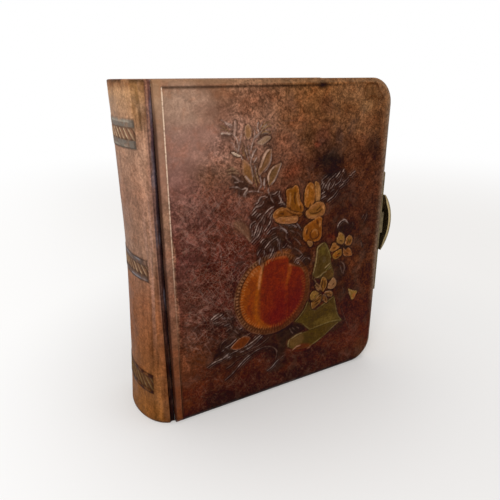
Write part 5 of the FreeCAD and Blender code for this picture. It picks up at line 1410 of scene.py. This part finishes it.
def spine_shell(sizes):
    bm = bmesh.new()
    section = spine_section(sizes)
    datum = 100.0
    verts = [bm.verts.new((0, -(datum - s), z)) for s, z in section]
    edges = [bm.edges.new((verts[k - 1], verts[k])) for k in range(len(verts))]
    bmesh.ops.spin(bm, geom=verts + edges, cent=(0, 0, 0), axis=(0, 0, 1), dvec=(0, 0, 0),
                   angle=-math.pi, steps=128, use_merge=False, use_duplicate=False)
    rim = [e for e in bm.edges if e.is_boundary]
    bmesh.ops.holes_fill(bm, edges=rim, sides=0)
    half = DEPTH / 2 - sizes.spine_set_back
    for vert in bm.verts:
        inset = datum - math.hypot(vert.co.x, vert.co.y)
        turn = math.atan2(abs(vert.co.x), -vert.co.y) / math.pi
        deep = float(spine_reach(vert.co.z)) - inset
        start = math.asin(sizes.joint_width / deep)
        angle = start + (math.pi - 2 * start) * turn
        vert.co = (-deep * math.sin(angle), DEPTH / 2 - (half - inset) * math.cos(angle), vert.co.z)
    return recalculated(bm)


def tool_bands(z, arc, y, sizes):
    """Relief, paint and blacking of the three tooled bands. Each has a fillet above and below a field
    of slanting strokes, and the tail band has kept little but the two dark fillets."""
    height, ink = np.zeros_like(z), np.zeros_like(z)
    paint = np.zeros((len(z), 4))

    def brush(share, code):
        dye(paint, share, code)
        paint[:, 3] = np.maximum(paint[:, 3], share)

    inset, half = sizes.band_inset, sizes.band_height / 2
    across = ramp(np.minimum(y, DEPTH - y), sizes.band_stop - 0.5, sizes.band_stop + 0.8)
    far = ramp(np.minimum(arc, arc.max() - arc), 12, 26)
    middles = (inset, HEIGHT / 2, HEIGHT - inset + 1)
    for middle, tall, look in zip(middles, (half, half, half + 1), BAND_LOOKS):
        fillet, glint, ground, light, dark, wide = look
        off = z - middle
        inside = (1 - ramp(np.abs(off), tall - 0.4, tall + 0.6)) * across
        worn = 0.4 + 0.6 * ramp(cloud(arc, z, 5, 60 + int(middle), 5), 0.3, 0.55)
        field = inside * (1 - ramp(np.abs(off), tall - wide - 0.4, tall - wide + 0.4))
        rail = inside * ramp(np.abs(off), tall - wide - 0.2, tall - wide + 0.6)
        phase = ((arc - 0.8 * off) / 6.4 + 0.25 * cloud(arc, z, 9, 64)) % 1
        stroke = ramp(phase, 0.1, 0.2) * (1 - ramp(phase, 0.36, 0.46))
        second = ramp(phase, 0.5, 0.58) * (1 - ramp(phase, 0.74, 0.84))
        height += 0.3 * rail + field * (0.35 * stroke - 0.2 * second)
        brush(field * 0.8, ground)
        brush(field * stroke * worn * (0.35 + 0.65 * far), light)
        brush(field * second * worn * 0.85, dark)
        brush(rail * (0.15 + 0.75 * worn), fillet)
        shine = (1 - ramp(np.abs(np.abs(off) - tall + 1.6), 0.3, 1.0)) * inside
        brush(shine * far * ramp(cloud(arc, z, 10, 71), 0.35, 0.6) * 0.8, glint)
        seam = inside * (1 - ramp(np.abs(np.abs(off) - tall + 0.2), 0.2, 0.9))
        seam = np.maximum(seam, inside * 0.8 * (1 - ramp(np.abs(np.abs(off) - tall + wide), 0.2, 0.8)))
        stop = across * ramp(np.minimum(y, DEPTH - y), sizes.band_stop + 3, sizes.band_stop + 0.8)
        seam = np.maximum(seam, stop * inside * 0.8)
        ink = np.maximum(ink, 0.62 * seam)
    return height, paint, ink


class ALBUM_OT_spine(bpy.types.Operator):
    """Make the spine hide with its tooled bands, and the hide in the two joints"""
    bl_idname = "album.spine"
    bl_label = "Spine and joints"

    def execute(self, context):
        sizes, colours = in_mm(context.scene.album_sizes), context.scene.album_colours
        calf = aged_hide("worn_calf_spine", colours, roughness=(0.46, 0.66), crackle=0.0,
                         bloom="#A08673", patchy=0.5)
        piece = to_object(spine_shell(sizes), "spine_hide", UPRIGHT, calf)
        mesh = piece.data
        places = places_of(mesh)
        x, y, z = places.T
        half = DEPTH / 2 - sizes.spine_set_back
        deep = spine_reach(z)
        across = (DEPTH / 2 - y) / half
        gap = np.hypot(x / deep, across)
        angle = np.arctan2(-x / deep, across)
        turns = np.linspace(0, math.pi, 181)
        step = np.hypot(half * np.sin(turns), SPINE_ROUND * np.cos(turns)) * (turns[1] - turns[0])
        arc = np.interp(angle, turns, np.cumsum(step))
        outside = ramp(gap, 0.975, 0.995)
        height, paint, ink = tool_bands(z, arc, y, sizes)
        normal = np.stack([x / deep ** 2, -across / half, np.zeros_like(x)], 1)
        normal /= np.linalg.norm(normal, axis=1)[:, None]
        long_wear = cloud(arc, z * 0.07, 2.2, 21, 3)
        crease = ramp(long_wear, 0.6, 0.75) * ramp(np.abs(y - DEPTH / 2), 24, 36)
        ends = np.minimum(z, HEIGHT - z)
        soft = (cloud(arc, z * 0.6, 16, 70) - 0.5) * 0.5 - 0.3 * crease
        height = height + soft * ramp(ends, 2, 14)
        places += normal * (np.clip(height, -0.6, 0.4) * outside)[:, None]
        write_places(mesh, places)
        tone = np.hstack([colour_by_height(z, SPINE_FADE_AND_LIGHT), np.ones((len(z), 1))])
        off_middle = np.abs(y - DEPTH / 2)
        streak = (cloud(arc, z * 0.08, 2.6, 40, 3) - 0.5) * 1.5
        near = ramp(off_middle, 18, 36)
        tone[:, :3] *= (1 + streak * (0.2 + 0.8 * near))[:, None]
        pink = ramp(cloud(arc, z * 0.06, 3.4, 44, 3), 0.55, 0.68) * 0.35 * ramp(z, 50, 130) * near
        warm = 0.5 * ramp(z, 222, 258) * ramp(off_middle, 20, 32) * ramp(cloud(arc, z, 22, 81), 0.3, 0.6)
        # Painted shade: the spine is darker along both edges, where it turns into the joints.
        side = 0.45 * ramp(np.minimum(y, DEPTH - y), 7.5, 4.0)
        scuff = ramp(ends, 7, 1) * ramp(cloud(arc, z, 5, 15), 0.45, 0.6) * 0.7
        lip = 0.75 * ramp(ends, 2.2, 0.8) * ramp(cloud(arc, z, 12, 33), 0.25, 0.5)
        for share, code in ((pink, "#B58F80"), (warm, "#A87842"), (side, "#5A3324"),
                            (scuff, "#6B3F22"), (lip, "#331A10")):
            dye(tone, share, code)
        write_layer(mesh, "patina", np.clip(tone, 0, 1))
        write_layer(mesh, "paint", paint * outside[:, None])
        marks = np.zeros((len(x), 4))
        ink += 0.5 * crease * ramp(cloud(arc, z, 9, 2), 0.4, 0.6)
        marks[:, 1] = np.clip(ink * outside, 0, 1)
        marks[:, 2] = 0.35 * (1 - ramp(ends, 0.3, 2.5)) * outside
        marks[:, 3] = 1
        write_layer(mesh, "marks", marks)
        install(piece, "book", "spine_hide", "spine_leather")
        dark = aged_hide("blackened_calf_joint", colours, roughness=(0.3, 0.5), crackle=0.0,
                         bloom="#6A6468", patchy=0.6)
        for side, seat in (("front", FRONT), ("back", BACK)):
            self.joint(sizes, side, seat, dark)
        return {"FINISHED"}

    def joint(self, sizes, side, seat, skin):
        """A hollow, creased strip between the spine and a cover."""
        node = side + "_hinge_strip"
        (start, near, _), (stop, far, _) = box_in_mm(node)
        bm = grid(spaced([start, stop], [0.35]), spaced([0, HEIGHT], [1.5]))
        rim = [e for e in bm.edges if e.is_boundary]
        floor = sizes.joint_depth
        for vert in bm.verts:
            share = (vert.co.x - start) / (stop - start)
            vert.co.z = -floor - 0.75 * math.sin(math.pi * share)
        base = -floor - (far - near)
        rim = extrude_rim(bm, rim, lambda vert: Vector((vert.co.x, vert.co.y, base)))
        bmesh.ops.holes_fill(bm, edges=rim, sides=0)
        piece = to_object(bm, side + "_joint_hide", seat, skin)
        places = places_of(piece.data)
        x, y, z = places.T
        out = y if side == "front" else DEPTH - y
        top = ramp(out, floor + 1.2, floor + 0.9)
        sag = 0.5 * top * cloud(x, z * 0.25, 2.4, 17 if side == "front" else 29)
        places[:, 1] += sag if side == "front" else -sag
        write_places(piece.data, places)
        tone = np.hstack([colour_by_height(z, JOINT_FADE), np.ones((len(z), 1))])
        share = (x - start) / (stop - start)
        worn = 0.9 * ramp(share + 0.25 * (cloud(x, z, 12, 47) - 0.5), 0.64, 0.42)
        # Painted reflection: grey streaks in the upper part of the glossy groove.
        grey = 0.5 * ramp(cloud(x, z * 0.15, 2.2, 55), 0.52, 0.66) * ramp(z, 60, 120)
        brown = 0.5 * ramp(cloud(x, z * 0.2, 2.0, 58), 0.5, 0.64) * ramp(z, 110, 60)
        # Painted shade: black in the gap next to the cover, below the head.
        black = 0.8 * ramp(share, 0.7, 0.9) * ramp(z, 255, 225)
        for strength, shade in ((worn, colour_by_height(z, JOINT_WORN)), (grey, "#6A6670"), (brown, "#5C4234"),
                                (black, "#150D0C")):
            dye(tone, strength, shade)
        write_layer(piece.data, "patina", tone)
        for layer in ("paint", "marks"):
            write_layer(piece.data, layer, np.zeros((1, 4)))
        install(piece, "book", "joint_hide", node)


# ---------------------------------------------------------------- leaves and linings

LEAF_COUNT = 26
LEAF_CORNER = 17.0
# How far the first and last leaf stand back from the middle one at the spine.
BACK_CURVE = 5.4
# Half the width and half the height of a window, and the radius of its upper corners.
WINDOW_HALF = 49.0
WINDOW_TALL = 71.0
WINDOW_CORNER = 30.0


def outline(bm, left, low, right, high, level, rounded, radius):
    """A flat rectangle; rounded picks the corners that are turned."""
    spots = [(left, low), (right, low), (right, high), (left, high)]
    verts = [bm.verts.new((x, z, level)) for x, z in spots]
    bm.faces.new(verts)
    bmesh.ops.bevel(bm, geom=[verts[k] for k in rounded], offset=radius, segments=10,
                    profile=0.5, affect="VERTICES", material=-1)


def thicken(bm, thick):
    """Gives flat faces a thickness below them."""
    body = bmesh.ops.extrude_face_region(bm, geom=list(bm.faces))["geom"]
    for vert in (g for g in body if isinstance(g, bmesh.types.BMVert)):
        vert.co.z -= thick
    return recalculated(bm)


def plate(left, low, right, high, level, thick, rounded, radius, edge):
    """A flat card with its long edges eased, from level down to level - thick."""
    bm = bmesh.new()
    outline(bm, left, low, right, high, level, rounded, radius)
    thicken(bm, thick)
    sharp = [e for e in bm.edges if e.calc_face_angle(0) > 1.2
             and abs(e.verts[0].co.z - e.verts[1].co.z) < 1e-6]
    bmesh.ops.bevel(bm, geom=sharp, offset=edge, segments=2, profile=0.5, affect="EDGES", material=-1)
    return bm


def gather(bm, other):
    """Adds another bmesh to this one."""
    scrap = bpy.data.meshes.new("scrap")
    other.to_mesh(scrap)
    other.free()
    bm.from_mesh(scrap)
    bpy.data.meshes.remove(scrap)


class ALBUM_OT_leaves(bpy.types.Operator):
    """Make the gilt-edged card leaves, with a gold-lined window in the first and the last"""
    bl_idname = "album.leaves"
    bl_label = "Leaves"

    def execute(self, context):
        sizes, colours = in_mm(context.scene.album_sizes), context.scene.album_colours
        card = foxed_card("calendered_pasteboard", colours.card)
        gilt = gilt_edge("gilded_leaf_edges")
        (x0, y0, z0), (x1, y1, z1) = box_in_mm("leaf_block")
        pitch = (y1 - y0 - sizes.leaf_thickness) / (LEAF_COUNT - 1)
        draw = np.random.default_rng(5)
        bm = bmesh.new()
        for number in range(LEAF_COUNT):
            front = y0 + number * pitch
            share = (front + sizes.leaf_thickness / 2 - DEPTH / 2) / ((y1 - y0) / 2)
            back = x0 + BACK_CURVE * share * share
            end = number in (0, LEAF_COUNT - 1)
            slip = draw.random(3) * (0 if end else 0.5)
            leaf = plate(back, z0 + slip[0], x1 - slip[1], z1 - slip[2], -front,
                         sizes.leaf_thickness + (0 if end else 0.1), (1, 2), LEAF_CORNER, 0.3)
            gather(bm, leaf)
        for face in bm.faces:
            middle = face.calc_center_median()
            face.material_index = 1 if abs(face.normal.z) < 0.9 and middle.x > x0 + 8 else 0
        piece = to_object(bm, "card_leaves", FRONT, [card, gilt], smooth=False)
        install(piece, "book", "leaf_card", "leaf_block")
        self.mats(colours, x1, y0, y1)
        return {"FINISHED"}

    def mats(self, colours, fore, y0, y1):
        """The window on each outer leaf: its backing card, with a gilt rim and two gold lines."""
        backing = foxed_card("window_backing_card", linear("#B9A27C"), tooth=0.3)
        line = old_brass("gold_printed_line", colours, bright=1.0)
        middle, rounded = fore / 2, (2, 3)
        half, tall = WINDOW_HALF, WINDOW_TALL
        for side, seat, level in (("front", FRONT, -y0), ("back", BACK, -(DEPTH - y1))):
            bm = plate(middle - half, HEIGHT / 2 - tall, middle + half, HEIGHT / 2 + tall, level + 0.04,
                       0.3, rounded, WINDOW_CORNER, 0.05)
            piece = to_object(bm, side + "_window_card", seat, backing, smooth=False)
            install(piece, "book", "leaf_card")
            bm = bmesh.new()
            for gap, width, rise in ((0.0, 1.3, 0.1), (4.0, 0.9, 0.06), (6.6, 0.4, 0.06)):
                ring = bmesh.new()
                for spread in (gap, gap + width):
                    made = bmesh.new()
                    wide, high = half + spread, tall + spread
                    outline(made, middle - wide, HEIGHT / 2 - high, middle + wide, HEIGHT / 2 + high,
                            level + rise, rounded, WINDOW_CORNER + spread)
                    bmesh.ops.delete(made, geom=list(made.faces), context="FACES_ONLY")
                    gather(ring, made)
                bmesh.ops.bridge_loops(ring, edges=list(ring.edges))
                gather(bm, thicken(ring, rise))
            piece = to_object(bm, side + "_window_lines", seat, line, smooth=False)
            install(piece, "book", "leaf_card")


class ALBUM_OT_linings(bpy.types.Operator):
    """Finish the boards, endpapers, spine card and lining cloth"""
    bl_idname = "album.linings"
    bl_label = "Boards and linings"

    def execute(self, context):
        board = rough_stock("rolled_millboard", "#6E5F4C", "#94846B", 1.2)
        paper = watered_paper("watered_endpaper", linear("#D8C9A8"), linear("#BFA984"))
        cloth = rough_stock("open_cotton_lining", "#8C7B5E", "#B9A883", 0.7, (1, 1, 0.3))
        for node in ("front_board", "back_board", "spine_stiffener"):
            coat(node, board)
        for node in ("front_pastedown", "back_pastedown"):
            coat(node, paper)
        coat("spine_lining", cloth)
        return {"FINISHED"}


# ---------------------------------------------------------------- clasp

class ALBUM_OT_clasp(bpy.types.Operator):
    """Make the arched hasp, and finish the plates, nails, catch, hinge pin and spring"""
    bl_idname = "album.clasp"
    bl_label = "Clasp"

    def execute(self, context):
        colours = context.scene.album_colours
        brass = old_brass("old_stamped_brass", colours, bright=0.35)
        worn = old_brass("old_turned_brass", colours, bright=0.7)
        for node in ("clasp_front_plate", "clasp_back_plate", "clasp_catch"):
            coat(node, brass)
        for node in ("clasp_front_nails", "clasp_back_nails", "clasp_hinge_pin", "hasp_rivet"):
            coat(node, worn)
        coat("hasp_spring", sprung_steel("rusted_spring_steel"))
        self.hasp(brass)
        return {"FINISHED"}

    def hasp(self, skin):
        """The hasp: a strap arched about the fore edge, with a rolled front rim and a hinge knuckle."""
        (x0, y0, z0), (x1, y1, z1) = box_in_mm("clasp_hasp")
        pin = box_in_mm("clasp_hinge_pin")
        pin_x, pin_y, _ = ((a + b) / 2 for a, b in zip(*pin))
        barrel = y1 - pin_y
        middle, span = (z0 + z1) / 2, (z1 - z0) / 2
        wall, rolled, scores, tab_inset = 1.2, 3.0, (2.6, 4.4), 11.4
        base = x0 + wall
        rise = x1 - base
        tail_rise = 1.6
        tail_base = pin_x + barrel - tail_rise
        tail_y = pin_y - 4.6
        bm = grid(spaced([z0, z1], [1.1]), spaced([y0, y0 + 6, DEPTH / 2, tail_y], [0.5, 2.0, 1.4]))
        arch = (span * span + rise * rise) / (2 * rise)
        hub = base + rise - arch
        for vert in bm.verts:
            z, y, _ = vert.co
            share = min(max((y - DEPTH / 2) / (tail_y - DEPTH / 2), 0), 1)
            ease = share * share * (3 - 2 * share)
            foot = base * (1 - ease) + tail_base * ease
            swell = rise * (1 - ease) + tail_rise * ease
            radius = (span * span + swell * swell) / (2 * swell)
            off = z - middle
            bulge = math.sqrt(max(radius * radius - off * off, 0)) - (radius - swell)
            score = sum(0.16 * max(0.0, 1 - abs(y - y0 - place) / 0.45) for place in scores)
            vert.co = (foot + bulge - score, y, z)
        recalculated(bm)
        if sum(f.normal.x for f in bm.faces) < 0:
            bmesh.ops.reverse_faces(bm, faces=bm.faces)
        bmesh.ops.solidify(bm, geom=list(bm.faces), thickness=wall)
        recalculated(bm)
        sharp = [e for e in bm.edges if e.is_manifold and e.calc_face_angle(0) > 1.0]
        bmesh.ops.bevel(bm, geom=sharp, offset=0.32, segments=3, profile=0.5, affect="EDGES", material=-1)
        for vert in bm.verts:
            # The front edge is rolled in, so that it reads as a rim twice as thick as the sheet.
            out = Vector((vert.co.x - hub, vert.co.z - middle))
            roll = max(0.0, 1 - ((vert.co.y - y0) / rolled) ** 2)
            roll *= min(max((span - abs(out.y) - 2) / 6, 0), 1)
            if vert.co.y < y0 + rolled and out.length < arch - wall / 2:
                inward = 1 - 1.8 * roll / out.length
                vert.co.x = hub + out.x * inward
                vert.co.z = middle + out.y * inward
        tab_low, tab_high = z0 + tab_inset, z1 - tab_inset
        tab = bmesh.new()
        bmesh.ops.create_cube(tab, size=1.0)
        for vert in tab.verts:
            vert.co = ((pin_x + barrel - wall / 2) + vert.co.x * wall,
                       (tail_y - wall + pin_y) / 2 + vert.co.y * (pin_y - tail_y + wall),
                       (tab_low + tab_high) / 2 + vert.co.z * (tab_high - tab_low))
        bmesh.ops.bevel(tab, geom=list(tab.edges), offset=0.25, segments=2, profile=0.5,
                        affect="EDGES", material=-1)
        gather(bm, tab)
        knuckle = bmesh.new()
        bmesh.ops.create_cone(knuckle, cap_ends=True, segments=32, radius1=barrel, radius2=barrel,
                              depth=tab_high - tab_low)
        rims = [e for e in knuckle.edges if e.calc_face_angle(0) > 1.0]
        bmesh.ops.bevel(knuckle, geom=rims, offset=0.25, segments=2, profile=0.5, affect="EDGES",
                        material=-1)
        bmesh.ops.translate(knuckle, vec=(pin_x, pin_y, (tab_low + tab_high) / 2), verts=knuckle.verts)
        gather(bm, knuckle)
        piece = to_object(bm, "arched_hasp", UPRIGHT, skin)
        piece.data.set_sharp_from_angle(angle=math.radians(40))
        mesh = piece.data
        places = places_of(mesh)
        x, y, z = places.T
        # The rolled rim is rubbed bright, with a painted highlight strongest a little above its middle.
        rim = ramp(y, y0 + 1.4, y0 + 0.3)
        rim *= ramp(np.hypot(x - hub, z - middle), arch - 0.2, arch - 1.0)
        marks = np.zeros((len(x), 4))
        marks[:, :3] = (np.clip(0.95 * rim * (1.1 - np.abs(z - middle - 9) / 34), 0, 1))[:, None]
        marks[:, 3] = 1
        write_layer(mesh, "marks", marks)
        install(piece, "hasp", "clasp_brass", "clasp_hasp")


# ---------------------------------------------------------------- stage

EYE = (-98.9, -308.5, 271.8)
EYE_TURN = 28.70
EYE_DROP = 20.30
EYE_ROLL = -0.29
LENS = 33.912

LAMPS = [
    # name, place in millimetres from the corner, size, watts, colour
    ("key", (-900, -1100, 1250), 900, 17.0, "#FFF8F0"),
    ("fill", (1300, -900, 700), 1100, 5.0, "#F4F7FF"),
    ("top", (200, 200, 1500), 1200, 8.0, "#FFFFFF"),
]


class ALBUM_OT_stage(bpy.types.Operator):
    """Make the floor, the white surroundings, the lamps and the camera"""
    bl_idname = "album.stage"
    bl_label = "Stage"

    def execute(self, context):
        scene = context.scene
        bm = bmesh.new()
        bmesh.ops.create_grid(bm, x_segments=8, y_segments=8, size=4000)
        floor = to_object(bm, "floor", UPRIGHT, self.paper_floor(), smooth=False)
        self.surroundings(scene)
        for name, place, size, watts, code in LAMPS:
            lamp = bpy.data.lights.new(name, "AREA")
            lamp.shape = "DISK"
            lamp.size = size * MM
            lamp.energy = watts
            lamp.color = linear(code)
            holder = bpy.data.objects.new(name, lamp)
            holder.location = CORNER + Vector(place) * MM
            aim = CORNER + Vector((100, 40, 130)) * MM - holder.location
            holder.rotation_euler = aim.to_track_quat("-Z", "Y").to_euler()
            scene.collection.objects.link(holder)
        camera = bpy.data.cameras.new("camera")
        camera.lens = LENS
        camera.sensor_width = 36.0
        camera.clip_start = 0.01
        holder = bpy.data.objects.new("camera", camera)
        holder.location = CORNER + Vector(EYE) * MM
        turn = (Matrix.Rotation(math.radians(-EYE_TURN), 4, "Z")
                @ Matrix.Rotation(math.radians(90 - EYE_DROP), 4, "X")
                @ Matrix.Rotation(math.radians(EYE_ROLL), 4, "Z"))
        holder.rotation_euler = turn.to_euler()
        scene.collection.objects.link(holder)
        scene.camera = holder
        scene.view_settings.view_transform = "Standard"
        return {"FINISHED"}

    def seen(self, tree):
        """1 for camera, glossy and transmission rays, 0 for the rest."""
        path = add_node(tree, "LightPath")
        share = path["Is Camera Ray"]
        for ray in ("Is Glossy Ray", "Is Transmission Ray"):
            share = add_node(tree, "Math", {**MOST, 0: share, 1: path[ray]})[0]
        return share

    def paper_floor(self):
        """Matt white paper: it takes the album's shadow close by, and further off it is the white
        of the surroundings, so that it has no horizon. Its glow is painted a little darker to the right,
        away from the key lamp, as painted shade."""
        skin, tree, place = new_material("white_paper_floor")
        beside = add_node(tree, "VectorMath", {**LESS, 0: place, 1: (0.05, 0.0, 0.0)})[0]
        far = add_node(tree, "VectorMath", {"operation": "LENGTH", 0: beside})["Value"]
        across = add_node(tree, "SeparateXYZ", {0: place})[0]
        matt = add_node(tree, "BsdfDiffuse", {"Color": (0.8, 0.8, 0.8)})[0]
        # Painted shade: the floor's glow is darker towards the right.
        left = add_node(tree, "MapRange", {**SMOOTH, 0: across, 1: -0.25, 2: 0.15})[0]
        away = add_node(tree, "MapRange", {**SMOOTH, 0: far, 1: 0.5, 2: 1.5})[0]
        tone = layered(tree, linear("#FDFCFB"), (left, linear("#F0EEEC")), (away, (1, 1, 1)))
        glow = add_node(tree, "Emission", {"Strength": 1.0, "Color": tone})[0]
        bare = add_node(tree, "MapRange", {**SMOOTH, 0: far, 1: 0.1, 2: 0.34, 3: 0.12, 4: 1.0})[0]
        share = add_node(tree, "Math", {**TIMES, 0: self.seen(tree), 1: bare})[0]
        mixed = add_node(tree, "MixShader", {0: share, 1: matt, 2: glow})[0]
        add_node(tree, "OutputMaterial", {"Surface": mixed})
        return skin

    def surroundings(self, scene):
        world = bpy.data.worlds.new("white_room")
        world.use_nodes = True
        scene.world = world
        tree = world.node_tree
        tree.nodes.clear()
        soft, white = (add_node(tree, "Background", {"Color": (1, 1, 1), "Strength": strength})[0]
                       for strength in (0.42, 1.0))
        mixed = add_node(tree, "MixShader", {0: self.seen(tree), 1: soft, 2: white})[0]
        add_node(tree, "OutputWorld", {"Surface": mixed})


# ---------------------------------------------------------------- add-on

class ALBUM_PT_maker(bpy.types.Panel):
    """Steps that dress the album, in order"""
    bl_idname = "ALBUM_PT_maker"
    bl_label = "Photograph Album"
    bl_space_type = "VIEW_3D"
    bl_region_type = "UI"
    bl_category = "Album"

    def draw(self, context):
        for step in STEPS:
            self.layout.operator("album." + step)
        for group in (context.scene.album_sizes, context.scene.album_colours):
            box = self.layout.box()
            for name in group.__annotations__:
                box.prop(group, name)


STEPS = ("covers", "spine", "leaves", "linings", "clasp", "stage")
CLASSES = (AlbumSizes, AlbumColours, ALBUM_OT_covers, ALBUM_OT_spine, ALBUM_OT_leaves,
           ALBUM_OT_linings, ALBUM_OT_clasp, ALBUM_OT_stage, ALBUM_PT_maker)


def register():
    for kind in CLASSES:
        bpy.utils.register_class(kind)
    bpy.types.Scene.album_sizes = bpy.props.PointerProperty(type=AlbumSizes)
    bpy.types.Scene.album_colours = bpy.props.PointerProperty(type=AlbumColours)


def unregister():
    del bpy.types.Scene.album_colours
    del bpy.types.Scene.album_sizes
    for kind in reversed(CLASSES):
        bpy.utils.unregister_class(kind)


def main():
    register()
    for step in STEPS:
        getattr(bpy.ops.album, step)()


if __name__ == "__main__":
    main()
